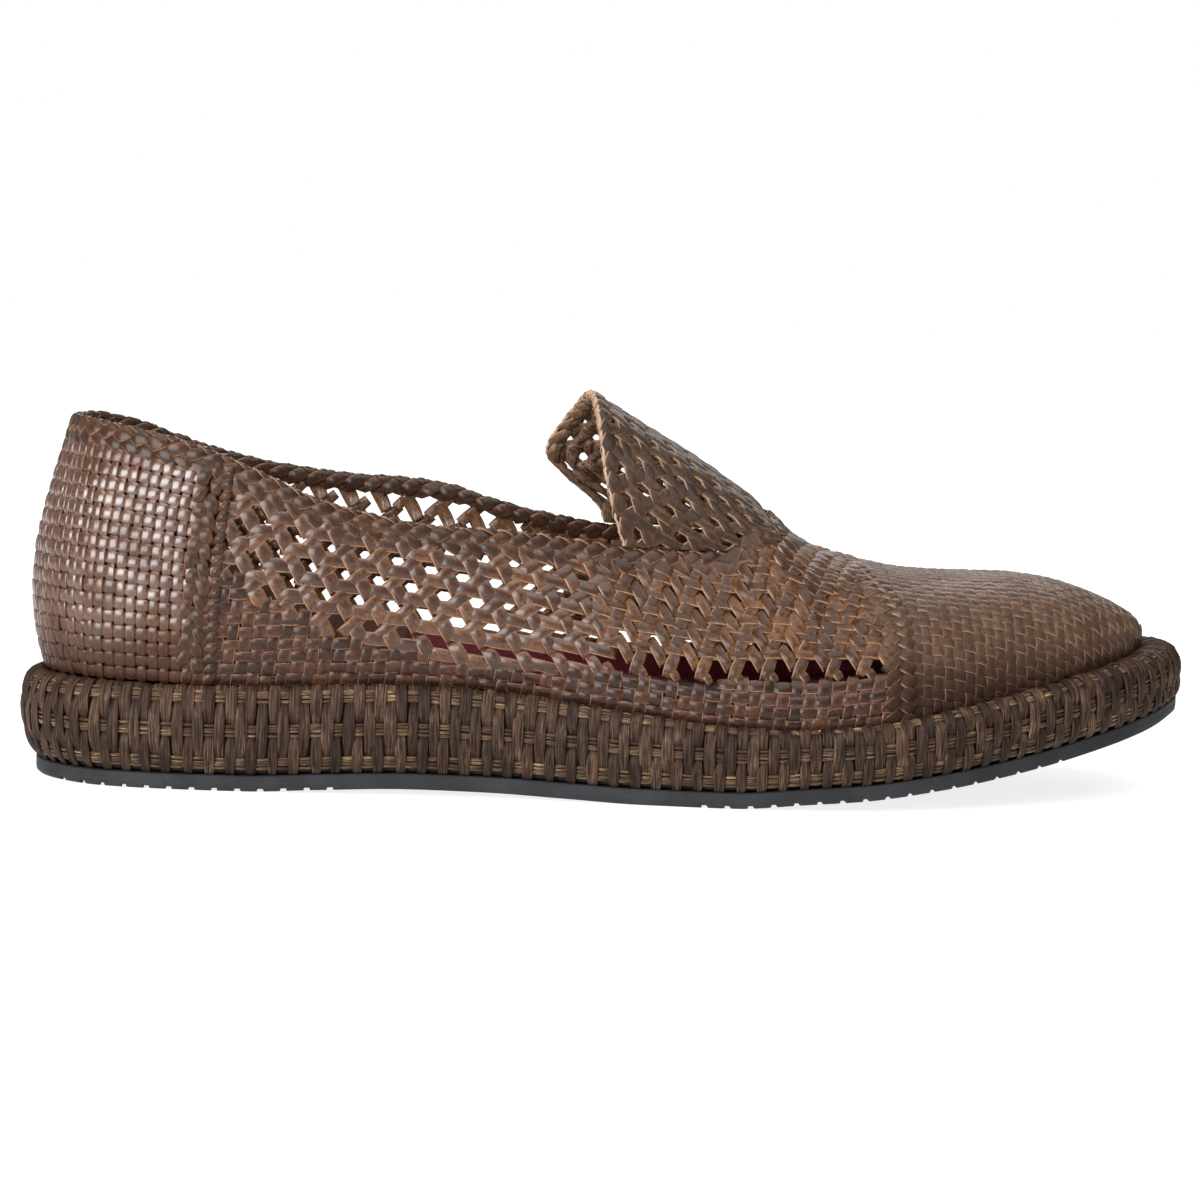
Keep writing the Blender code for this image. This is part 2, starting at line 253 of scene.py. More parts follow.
def smooth(knots, values, at):
    """Monotone cubic through the knots: flats stay flat and nothing overshoots."""
    knots, values, at = (np.asarray(given, float) for given in (knots, values, at))
    step = np.diff(knots)
    slope = np.diff(values) / step
    tangent = np.zeros_like(values)
    tangent[0] = slope[0]
    tangent[-1] = slope[-1]
    for i in range(1, len(knots) - 1):
        if slope[i - 1] * slope[i] > 0.0:
            before = 2.0 * step[i] + step[i - 1]
            after = step[i] + 2.0 * step[i - 1]
            tangent[i] = (before + after) / (before / slope[i - 1] + after / slope[i])
    i = np.clip(np.searchsorted(knots, at, side="right") - 1, 0, len(step) - 1)
    t = np.clip((at - knots[i]) / step[i], 0.0, 1.0)
    return (
        (1.0 + 2.0 * t) * (1.0 - t) ** 2 * values[i]
        + t * (1.0 - t) ** 2 * step[i] * tangent[i]
        + t * t * (3.0 - 2.0 * t) * values[i + 1]
        - t * t * (1.0 - t) * step[i] * tangent[i + 1]
    )


def column(table, index):
    return [row[index] for row in table]


def read(table, index, at):
    """A column of a table, read smoothly by its first column."""
    return smooth(column(table, 0), column(table, index), at)


def swing(x):
    """Angle that is 0 at the heel and pi at the toe, so that both ends come out round."""
    return np.arccos(np.clip(-2.0 * np.asarray(x, float) / LENGTH, -1.0, 1.0))


def read_round(table, at, *indices):
    """Columns of a table, read by the angle of its first column."""
    knots = swing(column(table, 0))
    return beside(*(smooth(knots, column(table, i), swing(at)) for i in indices))


def outline(side, x):
    """Plan of the widest line on one side, and its outward normal."""
    angles = swing(column(SOLE, 0))
    widths = column(SOLE, 1 if side == LATERAL else 2)

    def place(angle):
        return beside(-0.5 * LENGTH * np.cos(angle), side * smooth(angles, widths, angle))

    angle = swing(x)
    small = 1e-3        # step of the slope, in radians
    along = place(np.minimum(angle + small, math.pi)) - place(np.maximum(angle - small, 0.0))
    normal = beside(along[..., 1], -along[..., 0]) * -side
    normal[0] = (-1.0, 0.0)
    normal[-1] = (1.0, 0.0)
    return place(angle), normal / np.linalg.norm(normal, axis=-1, keepdims=True)


def inset_outline(side, x, inset):
    """The outline moved in by a distance that may change along the shoe."""
    place, normal = outline(side, x)
    return place - normal * np.reshape(inset, (-1, 1))


def arch(side, x, angle):
    """Point on the tongue's arch."""
    base = read(ARCH, 2 if side == LATERAL else 3, x)
    turn = np.radians(angle)
    rise = read(ARCH, 4, x) - base
    return beside(x, side * read(ARCH, 1, x) * np.cos(turn), base + rise * np.sin(turn))


def top_line(side, station):
    """Where each section ends: on the collar, on the throat line or on the ridge."""
    collar, ridge = (read_round(table, station, 1, 2, 3) for table in (COLLAR[side], RIDGE))
    throat = arch(side, read(THROAT, 1, station), read(THROAT, 2, station))
    beside_throat = (station < THROAT_END)[:, None]
    return np.where((station < THROAT_START)[:, None], collar, np.where(beside_throat, throat, ridge))


def upper_surface(side, station, rows):
    """Outer surface of one side of the upper: an array of sections by rows by 3."""
    place, normal = outline(side, station)
    foot = place - normal * read(SOLE, 5, station)[:, None]
    foot = np.column_stack([foot, read(SOLE, 4, foot[:, 0]) + GAP])
    top = top_line(side, station)
    rise, lean, reach, slant = read_round(SHAPE, station, 1, 2, 3, 4).T[:, :, None]
    lean = np.radians(lean)
    slant = np.radians(slant)
    out = np.column_stack([normal, np.zeros(len(station))])
    up = np.array([0.0, 0.0, 1.0])

    on_ridge = station >= THROAT_END
    fall = np.gradient(top[on_ridge, 2]) / np.gradient(top[on_ridge, 0])
    joining = np.clip(1.0 - (THROAT_END - station) / THROAT_BLEND, 0.0, 1.0)
    ridge_fall = fall[0] * joining ** 2 * (3.0 - 2.0 * joining)
    ridge_fall[on_ridge] = fall
    inward = top[:, :2] - foot[:, :2]
    inward /= np.linalg.norm(inward, axis=1, keepdims=True)
    arrive = np.column_stack([inward, ridge_fall * inward[:, 0]]) * np.cos(slant) + up * np.sin(slant)

    low = foot + rise * (out * np.sin(lean) + up * np.cos(lean))
    high = top - reach * arrive
    t = np.linspace(0.0, 1.0, rows + 1)[None, :, None]
    foot, low, high, top = (point[:, None, :] for point in (foot, low, high, top))
    return (1 - t) ** 3 * foot + 3 * (1 - t) ** 2 * t * low + 3 * (1 - t) * t * t * high + t ** 3 * top


# ----------------------------------------
# Sheets: curved surfaces that strips are laid on, as cloth on a last.

SHEET_ROWS = 120


class Sheet:
    """A surface whose points are named by a column and a distance up that column."""

    def __init__(self, columns, points, outward):
        self.columns = np.asarray(columns, float)
        runs = [run_along(line) for line in points]
        self.length = np.array([run[-1] for run in runs])
        share = np.linspace(0.0, 1.0, SHEET_ROWS)
        self.points = np.stack([resample(share * run[-1], run, line) for run, line in zip(runs, points)])
        self.up = unit(np.gradient(self.points, axis=1))
        self.normals = unit(np.cross(np.gradient(self.points, axis=0), self.up)) * outward

    def height(self, column):
        return np.interp(column, self.columns, self.length)

    def place(self, column, distance, out=0.0):
        """Points at a height "out" over the surface; past either end it runs on straight."""
        index = np.interp(column, self.columns, np.arange(len(self.columns)))
        left = np.minimum(index.astype(int), len(self.columns) - 2)
        across = (index - left)[..., None]
        length = self.height(column)
        inside = np.clip(distance, 0.0, length)
        row = inside / length * (SHEET_ROWS - 1)
        low = np.minimum(row.astype(int), SHEET_ROWS - 2)
        rise = (row - low)[..., None]

        def mix(grid):
            lower = grid[left, low] * (1 - across) + grid[left + 1, low] * across
            upper = grid[left, low + 1] * (1 - across) + grid[left + 1, low + 1] * across
            return lower * (1 - rise) + upper * rise

        past = (distance - inside)[..., None]
        return mix(self.points) + past * mix(self.up) + np.asarray(out)[..., None] * unit(mix(self.normals))


# x of many sections, with the two ends of the throat among them
SECTIONS, SKIN_ROWS = 520, 90
STATIONS = -0.5 * LENGTH * np.cos(np.linspace(0.0, math.pi, SECTIONS))
STATIONS = np.unique([*STATIONS, THROAT_START, THROAT_END])
SKIN = {side: upper_surface(side, STATIONS, SKIN_ROWS) for side in SIDES}
BODY_START, BODY_END = -116.0, 142.0
HEEL_TURN = 14.0        # how far behind BODY_START the sections begin that it is cut from
SEAM_STATION = -109.3   # where the heel counter meets the quarters
PAST_SEAM = 8.0         # how far the heel's chart runs on in front of its seams


def round_heel(keep):
    """Sections from the last kept one of the outer side back round the heel to the inner side's."""
    return np.concatenate([SKIN[LATERAL][keep][::-1], SKIN[MEDIAL][keep][1:]])


def section_sheet(side):
    """The upper in front of the heel, as sections square across the shoe."""
    skin = SKIN[side]
    front = skin[-1]
    near_body = skin[np.searchsorted(STATIONS, BODY_START - HEEL_TURN):]
    columns = np.linspace(BODY_START, BODY_END, SECTIONS)
    lines = []
    for x in columns:
        rows = [j for j in range(len(front)) if front[j, 0] >= x]
        line = [[x, *(np.interp(x, near_body[:, j, 0], near_body[:, j, i]) for i in (1, 2))] for j in rows]
        if rows[-1] + 1 < len(front):
            near, far = front[rows[-1]], front[rows[-1] + 1]
            line.append(near + (far - near) * (near[0] - x) / (near[0] - far[0]))
        share = np.linspace(0.0, 1.0, len(line))
        lines.append(resample(np.linspace(0.0, 1.0, SHEET_ROWS), share, np.array(line)))
    return Sheet(columns, np.stack(lines), -side)


def heel_sheet():
    """The heel counter, unrolled round the back: columns run from the outer side to the inner,
    from a little in front of one seam to a little in front of the other."""
    keep = STATIONS <= SEAM_STATION + PAST_SEAM
    points = round_heel(keep)
    run = run_along(points[:, points.shape[1] // 2])
    return Sheet(run - run[np.count_nonzero(keep) - 1], points, -1.0)


SIDE = {side: section_sheet(side) for side in SIDES}
HEEL = heel_sheet()


def over_ridge(x, across, out=0.0):
    """A point by its x and its distance over the top from the ridge, negative on the outer side."""
    outer, inner = (SIDE[side].place(x, SIDE[side].height(x) - np.abs(across), out) for side in SIDES)
    return np.where((across < 0.0)[..., None], outer, inner)


# ----------------------------------------
# Strips: short ribbons that rise over their neighbours and dive under them at both ends.

# Section of a strip, counter-clockwise from its left shoulder: how far across (share of half
# the width), how deep (share of the thickness) and how raw the leather is there.  The right
# cut side is made rawer and paler than the left, a painted highlight along one side, and the
# underside is part raw: partly the pale flesh side, partly painted light where the tongue's inside shows.
STRIP_RING = (
    # across, depth, raw
    (-0.94, 0.10, 0.66),
    (-0.76, 0.00, 0.30),
    (0.00, 0.00, 0.00),
    (0.76, 0.00, 0.30),
    (0.94, 0.10, 1.00),
    (1.00, 0.42, 1.00),
    (0.94, 0.94, 0.66),
    (0.00, 1.00, 0.62),
    (-0.94, 0.94, 0.62),
    (-1.00, 0.42, 0.66),
)

# Section of a split-palm strand, with grooves between its fibres; its raw marks painted shade.
RIBBED_RING = (
    # across, depth, raw
    (-0.92, 0.14, 0.30),
    (-0.74, 0.00, 0.00),
    (-0.50, 0.15, 0.55),
    (-0.26, 0.00, 0.00),
    (-0.02, 0.16, 0.60),
    (0.24, 0.00, 0.00),
    (0.50, 0.14, 0.55),
    (0.74, 0.02, 0.00),
    (0.92, 0.16, 0.30),
    (1.00, 0.50, 1.00),
    (0.90, 0.95, 1.00),
    (-0.90, 0.95, 1.00),
    (-1.00, 0.50, 1.00),
)


class Bundle:
    """Gathers closed tubes of quads into one mesh, with what its material needs to know."""

    def __init__(self):
        self.points = []
        self.faces = []
        self.layers = {"raw": [], "tone": [], "sink": [], "strip": []}
        self.count = 0

    def add_tubes(self, points, raw, tone, sink, strip, closed=False):
        """points: tubes x rings x ring points x 3, in millimetres."""
        shape = points.shape[:3]
        tubes, rings, around = shape
        middle = points[:, rings // 2]
        turn = np.cross(middle, np.roll(middle, -1, axis=1)).sum(axis=1)
        ahead = points[:, rings // 2 + 1].mean(axis=1) - points[:, rings // 2 - 1].mean(axis=1)
        inside_out = np.einsum("ij,ij->i", turn, ahead) < 0.0
        index = self.count + np.arange(tubes * rings * around).reshape(shape)
        above = np.roll(index, -1, axis=1)
        quads = np.stack([index, np.roll(index, -1, axis=2), np.roll(above, -1, axis=2), above], axis=-1)
        quads[inside_out] = quads[inside_out][..., ::-1]
        if not closed:
            quads = quads[:, :-1]
            for cap, flip in ((index[:, 0], inside_out), (index[:, -1], ~inside_out)):
                self.faces.append(np.where(flip[:, None], cap, cap[:, ::-1]))
        self.faces.append(quads.reshape(-1, 4))
        self.points.append(points.reshape(-1, 3))
        for name, values in (("raw", raw), ("tone", tone), ("sink", sink)):
            self.layers[name].append(np.broadcast_to(values, shape).ravel())
        self.layers["strip"].append(np.broadcast_to(strip, (*shape, 3)).ravel())
        self.count += index.size

    def add_strips(self, place, start, end, width, high=0.0, low=-0.9, thick=0.9, crown=0.12,
                   roll=0.0, flat=2.6, taper=0.12, bow=0.0, rings=8, jitter=0.05,
                   section=STRIP_RING):
        """Strips from start to end, both as rows of (column, distance), each its own width.

        high and low are the levels of a strip's middle and ends, crown how far its middle
        swells, roll how far it leans over, and flat and taper how square and how narrow its
        ends are.
        """
        number = len(start)
        if number == 0:
            return
        width, high, low, roll, bow = (
            np.ones((number, 1, 1)) * np.reshape(own, (-1, 1, 1)) for own in (width, high, low, roll, bow)
        )
        wobble = rng.normal(0.0, jitter, (4, number, 1, 1))     # of width, level, roll and place
        share = np.linspace(0.0, 1.0, rings)[None, :, None]
        swell = 2.0 * share - 1.0
        # sink shapes the dive of the ends, and goes on to the materials, which paint shade there
        sink = np.abs(swell) ** flat
        across, depth, raw = (np.array(column(section, i))[None, None, :] for i in range(3))

        along = (end - start)[:, None, None, :]
        length = np.linalg.norm(along, axis=-1, keepdims=True)
        left = beside(-along[..., 1], along[..., 0]) / length
        half = 0.5 * width * (1.0 + wobble[0]) * (1.0 - taper * swell ** 2)
        middle = start[:, None, None, :] + along * share[..., None]
        middle = middle + left * (bow * (1.0 - swell ** 2) + 2.0 * wobble[3])[..., None]
        chart = middle - left * (half * across)[..., None]
        top = low + (high + 1.2 * wobble[1] - low) * (1.0 - sink) - (roll + 1.5 * wobble[2]) * across
        out = top - depth * thick + crown * (1.0 - across ** 2) * (depth < 0.5)
        tone = rng.random((number, 1, 1))
        spot = beside(share * length[..., 0], half * across, rng.random((number, 1, 1)) * 50.0)
        self.add_tubes(place(chart[..., 0], chart[..., 1], out), raw, tone, sink, spot)

    def make(self, name, finish, slot="upper_leather", node="upper"):
        """The gathered tubes as one object that rides on the shoe."""
        sizes = np.concatenate([np.full(len(faces), faces.shape[1]) for faces in self.faces])
        loops = np.concatenate([faces.ravel() for faces in self.faces])
        mesh = bpy.data.meshes.new(name)
        mesh.vertices.add(self.count)
        mesh.vertices.foreach_set("co", np.concatenate(self.points).ravel() * MM)
        mesh.loops.add(len(loops))
        mesh.loops.foreach_set("vertex_index", loops)
        mesh.polygons.add(len(sizes))
        mesh.polygons.foreach_set("loop_start", np.cumsum(sizes) - sizes)
        mesh.polygons.foreach_set("use_smooth", np.ones(len(sizes), bool))
        mesh.update(calc_edges=True)
        for label, values in self.layers.items():
            kind, field = ("FLOAT_VECTOR", "vector") if label == "strip" else ("FLOAT", "value")
            layer = mesh.attributes.new(label, kind, "POINT")
            layer.data.foreach_set(field, np.concatenate(values).astype(np.float32))
        return finish_piece(name, mesh, finish, slot, node)


def finish_piece(name, mesh, finish, slot, *nodes):
    mesh.materials.append(finish)
    made = add_object(name, mesh)
    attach(made, "root")
    if nodes:
        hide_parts(*nodes)
    return made


# ----------------------------------------
# Finishes.

def linear(colour, scale=1.0):
    """A colour given in 0 to 255 screen values, as the shader wants it."""
    value = np.array(colour, float) / 255.0
    value = np.where(value <= 0.04045, value / 12.92, ((value + 0.055) / 1.055) ** 2.4)
    return (*np.clip(value * scale, 0.0, 1.0), 1.0)


class Finish:
    """A material under construction, with short names for the nodes it uses."""

    def __init__(self, name, **sockets):
        self.material = bpy.data.materials.new(name)
        self.material.use_nodes = True
        self.tree = self.material.node_tree
        self.tree.nodes.clear()
        self.shader = self.tree.nodes.new("ShaderNodeBsdfPrincipled")
        output = self.tree.nodes.new("ShaderNodeOutputMaterial")
        self.tree.links.new(self.shader.outputs[0], output.inputs[0])
        for socket, value in sockets.items():
            self.shader.inputs[socket.replace("_", " ")].default_value = value
        coordinates = self.tree.nodes.new("ShaderNodeTexCoord")
        self.place = self.stretch(coordinates.outputs["Object"], (1000.0,) * 3)

    def node(self, kind, output, inputs, **settings):
        """A node with some of its inputs fed, by number or name; gives the named output."""
        made = self.tree.nodes.new(kind)
        for key, value in settings.items():
            setattr(made, key, value)
        for socket, value in inputs.items():
            self.feed(made.inputs[socket], value)
        return made.outputs[output]

    def feed(self, socket, value):
        if isinstance(value, bpy.types.NodeSocket):
            self.tree.links.new(value, socket)
        else:
            socket.default_value = value

    def stretch(self, vector, scale):
        return self.node("ShaderNodeVectorMath", 0, {0: vector, 1: scale}, operation="MULTIPLY")

    def math(self, operation, first, second):
        return self.node("ShaderNodeMath", 0, {0: first, 1: second}, operation=operation)

    def centred(self, value, size):
        """A value round a half, made to swing about nought."""
        return self.math("MULTIPLY", self.math("SUBTRACT", value, 0.5), size)

    def value(self, name, output="Fac"):
        return self.node("ShaderNodeAttribute", output, {}, attribute_name=name)

    def noise(self, vector, scale, detail=3.0, rough=0.55):
        """Noise whose features are about 1/scale millimetres across."""
        inputs = {"Vector": vector, "Scale": scale, "Detail": detail, "Roughness": rough}
        return self.node("ShaderNodeTexNoise", "Fac", inputs)

    def cells(self, scale):
        inputs = {"Vector": self.place, "Scale": scale}
        return self.node("ShaderNodeTexVoronoi", "Distance", inputs, feature="DISTANCE_TO_EDGE")

    def span(self, value, low, high, start=0.0, end=1.0):
        """Runs smoothly from start to end as the value goes from low to high."""
        inputs = {"Value": value, 1: low, 2: high, 3: start, 4: end}
        return self.node("ShaderNodeMapRange", 0, inputs, interpolation_type="SMOOTHSTEP")

    def mix(self, share, first, second, blend="MIX"):
        inputs = {0: share, 6: first, 7: second}
        return self.node("ShaderNodeMix", 2, inputs, data_type="RGBA", blend_type=blend)

    def tint(self, mask, low, high, first, second):
        """From one screen colour to another as a mask goes from low to high."""
        return self.mix(self.span(mask, low, high), linear(first), linear(second))

    def shade(self, colour, mask, low, high, dark, light, share=1.0):
        """Scales a colour by dark to light as a mask goes from low to high."""
        mask = self.span(mask, low, high)
        scale = self.mix(mask, (*np.ones(3) * dark, 1.0), (*np.ones(3) * light, 1.0))
        return self.mix(share, colour, scale, "MULTIPLY")

    def bump(self, height, depth, after=None):
        """Bump of a depth in millimetres."""
        inputs = {"Distance": depth * MM, "Height": height}
        if after is not None:
            inputs["Normal"] = after
        return self.node("ShaderNodeBump", 0, inputs)

    def done(self, colour, roughness, normal):
        for socket, value in (("Base Color", colour), ("Roughness", roughness), ("Normal", normal)):
            self.feed(self.shader.inputs[socket], value)
        return self.material


def strip_leather(name, face, worn, raw, rough, coat, low=None, gloss=1.5, shine=0.24):
    """Dyed, burnished leather cut into strips.

    Each strip is darkest along its middle, browner towards its sides and where it dives under
    its neighbours, with painted shade on the ends that dive, and shows a thin line of raw hide
    along each cut side, paler on one side as a painted highlight.  "low" is a painted shade:
    the colour the piece darkens to towards the sole, where its uneven polish also fades.
    """
    finish = Finish(name, Coat_Roughness=shine, Coat_IOR=gloss, Specular_IOR_Level=0.12)
    tone = finish.value("tone")
    edge = finish.value("raw")
    sink = finish.value("sink")
    strip = finish.value("strip", "Vector")
    cloud = finish.noise(finish.place, 0.09, 4.0)
    patch = finish.noise(finish.place, 0.9, 3.0)
    grain = finish.noise(finish.place, 3.2, 4.0, 0.7)
    crease = finish.noise(finish.place, 1.7, 2.0, 0.5)
    fibre = finish.noise(finish.stretch(strip, (0.7, 5.0, 1.0)), 1.0)
    pores = finish.cells(2.6)

    # rubbed: 0 in the dark middle of a strip, 1 at its brown borders
    border = finish.math("MAXIMUM", finish.math("MULTIPLY", edge, 1.4), finish.math("MULTIPLY", sink, 0.9))
    uneven = finish.centred(patch, 1.3)
    varied = finish.centred(tone, 0.5)
    broad = finish.centred(cloud, 0.8)
    rubbed = finish.math("ADD", finish.math("ADD", border, uneven), finish.math("ADD", varied, broad))
    colour = finish.tint(rubbed, 0.0, 0.75, face, worn)
    coat_socket = finish.shader.inputs["Coat Weight"]
    coat_socket.default_value = coat
    if low is not None:
        height = finish.node("ShaderNodeSeparateXYZ", 2, {0: finish.place})
        fading = finish.span(height, 32.0, 52.0, 0.2 * coat, coat)
        polish = finish.span(cloud, 0.40, 0.58, 0.45, 1.0)
        finish.feed(coat_socket, finish.math("MULTIPLY", fading, polish))
        # painted shade: the piece darkens towards the sole
        colour = finish.mix(finish.span(height, 30.0, 46.0, 0.8, 0.0), colour, linear(low))
    colour = finish.shade(colour, grain, 0.38, 0.60, (0.66, 0.64, 0.62), 1.14, 0.85)
    # painted shade: each strip darkens where its ends dive under its neighbours
    colour = finish.shade(colour, sink, 0.55, 1.0, 1.0, (0.34, 0.30, 0.28))
    # raw hide along the cut sides; the ring's raw values make one side paler, a painted highlight
    frayed = finish.math("ADD", edge, finish.centred(fibre, 0.6))
    tan = finish.mix(finish.span(grain, 0.3, 0.7), linear(raw, 0.75), linear(raw, 1.2))
    colour = finish.mix(finish.span(frayed, 0.52, 0.85, 0.0, 0.9), colour, tan)

    smooth_face = finish.span(patch, 0.25, 0.75, *rough)
    roughness = finish.math("ADD", smooth_face, finish.span(frayed, 0.4, 0.8, 0.0, 0.35))
    normal = finish.bump(grain, 0.22, finish.bump(crease, 0.34))
    return finish.done(colour, roughness, finish.bump(finish.span(pores, 0.0, 0.14), 0.06, normal))


# face, worn face, raw edge
# low, given for the heel and the toe, is a painted shade that darkens them towards the sole
HEEL_LEATHER = strip_leather("heel_leather", (79, 47, 30), (106, 68, 43), (80, 48, 30),
                             rough=(0.16, 0.28), coat=1.0, low=(62, 37, 24), gloss=1.85, shine=0.25)
QUARTER_LEATHER = strip_leather("quarter_leather", (68, 40, 25), (112, 74, 46), (174, 138, 110),
                                rough=(0.24, 0.40), coat=0.78, gloss=1.53)
VAMP_LEATHER = strip_leather("vamp_leather", (66, 41, 26), (115, 77, 48), (186, 147, 118),
                             rough=(0.30, 0.46), coat=0.40)
BAND_LEATHER = strip_leather("band_leather", (48, 26, 15), (91, 55, 34), (178, 140, 113),
                             rough=(0.26, 0.42), coat=0.5)
TOE_LEATHER = strip_leather("toe_leather", (81, 58, 44), (111, 83, 64), (156, 126, 102),
                            rough=(0.32, 0.46), coat=0.35, low=(46, 27, 18))
COLLAR_LEATHER = strip_leather("collar_leather", (57, 35, 21), (87, 56, 35), (146, 112, 86),
                               rough=(0.28, 0.44), coat=0.45)
TONGUE_LEATHER = strip_leather("tongue_leather", (57, 41, 29), (88, 62, 42), (174, 140, 114),
                               rough=(0.36, 0.52), coat=0.25)
CUT_EDGE = strip_leather("cut_edge_leather", (140, 108, 86), (176, 144, 120), (196, 164, 140),
                         rough=(0.5, 0.7), coat=0.1)


def lining_leather():
    """Rough brown flesh side that backs the close plait."""
    finish = Finish("lining_leather", Sheen_Weight=0.2, Sheen_Roughness=0.5)
    patch = finish.noise(finish.place, 0.25, 4.0)
    nap = finish.noise(finish.place, 5.0, 4.0, 0.7)
    colour = finish.tint(patch, 0.25, 0.75, (62, 38, 27), (84, 55, 40))
    colour = finish.shade(colour, nap, 0.3, 0.7, 0.8, 1.1)
    return finish.done(colour, finish.span(nap, 0.3, 0.7, 0.70, 0.92), finish.bump(nap, 0.12))


def burgundy_leather(name, dark, light):
    finish = Finish(name, Specular_IOR_Level=0.2)
    patch = finish.noise(finish.place, 0.06, 4.0)
    grain = finish.noise(finish.place, 2.4, 4.0, 0.6)
    pores = finish.cells(1.6)
    colour = finish.tint(patch, 0.3, 0.7, dark, light)
    colour = finish.shade(colour, grain, 0.35, 0.65, 0.84, 1.08)
    roughness = finish.span(grain, 0.3, 0.7, 0.42, 0.60)
    normal = finish.bump(finish.span(pores, 0.0, 0.16), 0.05)
    return finish.done(colour, roughness, finish.bump(grain, 0.05, normal))


def raffia(name, dark, light, tip):
    """Split palm: streaked along each strand, pale where it has rubbed, with painted shade in its grooves
    and at its ends.
    """
    finish = Finish(name, Coat_Weight=0.08, Coat_Roughness=0.35, Specular_IOR_Level=0.12)
    sink = finish.value("sink")
    strip = finish.value("strip", "Vector")
    tone = finish.value("tone")
    edge = finish.value("raw")
    streak = finish.noise(finish.stretch(strip, (0.10, 1.6, 1.0)), 1.0)
    fine = finish.noise(finish.stretch(strip, (0.22, 6.5, 1.0)), 1.0, 2.0)
    patch = finish.noise(finish.place, 0.16, 4.0)
    colour = finish.tint(streak, 0.36, 0.62, dark, light)
    rubbed = finish.math("MULTIPLY", finish.span(patch, 0.42, 0.68), finish.span(fine, 0.45, 0.66))
    colour = finish.mix(finish.math("MULTIPLY", rubbed, 0.8), colour, linear(tip))
    colour = finish.shade(colour, fine, 0.36, 0.60, (0.45, 0.43, 0.41), 1.25)
    shade = finish.mix(tone, (0.56, 0.54, 0.53, 1.0), (1.30, 1.28, 1.26, 1.0))
    colour = finish.mix(1.0, colour, shade, "MULTIPLY")
    # painted shade in the strand's grooves, along its sides and underneath, from the ring's raw values
    colour = finish.mix(finish.span(edge, 0.2, 1.0, 0.0, 0.92), colour, linear(dark, 0.3))
    # painted shade at the ends, where the strand dives behind the canes
    colour = finish.shade(colour, sink, 0.25, 0.95, 1.0, (0.24, 0.21, 0.19))
    roughness = finish.span(fine, 0.3, 0.7, 0.44, 0.66)
    return finish.done(colour, roughness, finish.bump(fine, 0.22, finish.bump(streak, 0.45)))


def core_finish():
    """Packed fibre behind the wrapping, painted near black as painted shade between the strands."""
    finish = Finish("core_fibre")
    fibre = finish.noise(finish.stretch(finish.place, (1.0, 1.0, 0.2)), 1.4)
    colour = finish.tint(fibre, 0.3, 0.7, (16, 10, 8), (30, 20, 15))
    return finish.done(colour, finish.span(fibre, 0.3, 0.7, 0.75, 0.95), finish.bump(fibre, 0.3))


def rubber():
    finish = Finish("outsole_rubber", Specular_IOR_Level=0.2)
    patch = finish.noise(finish.place, 0.08)
    dust = finish.noise(finish.place, 1.3, 4.0, 0.6)
    colour = finish.tint(patch, 0.3, 0.7, (34, 35, 37), (44, 45, 48))
    colour = finish.mix(finish.span(dust, 0.55, 0.85, 0.0, 0.35), colour, linear((56, 55, 54)))
    return finish.done(colour, finish.span(dust, 0.3, 0.7, 0.55, 0.75), finish.bump(dust, 0.05))


LINING = lining_leather()
BURGUNDY = burgundy_leather("burgundy_leather", (78, 26, 30), (98, 36, 39))
# The sock lining is the insole's burgundy leather painted lighter: painted light, as little light reaches
# it behind the band
SOCK = burgundy_leather("sock_leather", (102, 36, 43), (118, 45, 52))
STRAND_RAFFIA = raffia("strand_raffia", (34, 23, 17), (72, 52, 39), (108, 86, 68))
CANE_RAFFIA = raffia("cane_raffia", (46, 33, 23), (98, 76, 56), (166, 140, 108))
CORE = core_finish()
RUBBER = rubber()


# ----------------------------------------
# Camera, lights and floor.

CAMERA_AIM = Vector((-2.83, 0.0, 50.0))
CAMERA_DISTANCE = 1200.0
CAMERA_AZIMUTH, CAMERA_ELEVATION, CAMERA_ROLL = (math.radians(a) for a in (-5.0, 5.5, 1.72))
ROOM_LIGHT = 0.22       # how bright the room round the white backdrop is
FLOOR_GLOW = 0.82       # keeps the far floor as white as the backdrop


def add_camera():
    turn = Matrix.Rotation(CAMERA_AZIMUTH, 4, "Z")
    turn @= Matrix.Rotation(0.5 * math.pi - CAMERA_ELEVATION, 4, "X")
    turn @= Matrix.Rotation(CAMERA_ROLL, 4, "Z")
    away = turn.col[2].xyz
    camera = bpy.data.cameras.new("camera")
    camera.lens = 137.0
    camera.sensor_width = 36.0
    camera.shift_y = -0.008
    camera.clip_start = 0.05
    camera.dof.use_dof = False
    made = add_object("camera", camera)
    made.matrix_world = Matrix.Translation((CAMERA_AIM + away * CAMERA_DISTANCE) * MM) @ turn
    bpy.context.scene.camera = made


def add_light(name, kind, power, direction, place=(0.0, 0.0, 0.0), **settings):
    """A light that shines in a direction.  Lengths are in metres and power in watts, or in
    watts a square metre for the sun."""
    light = bpy.data.lights.new(name, kind)
    light.energy = power
    for key, value in settings.items():
        setattr(light, key, value)
    made = add_object(name, light)
    made.location = place
    made.rotation_euler = Vector(direction).to_track_quat("-Z", "Y").to_euler()


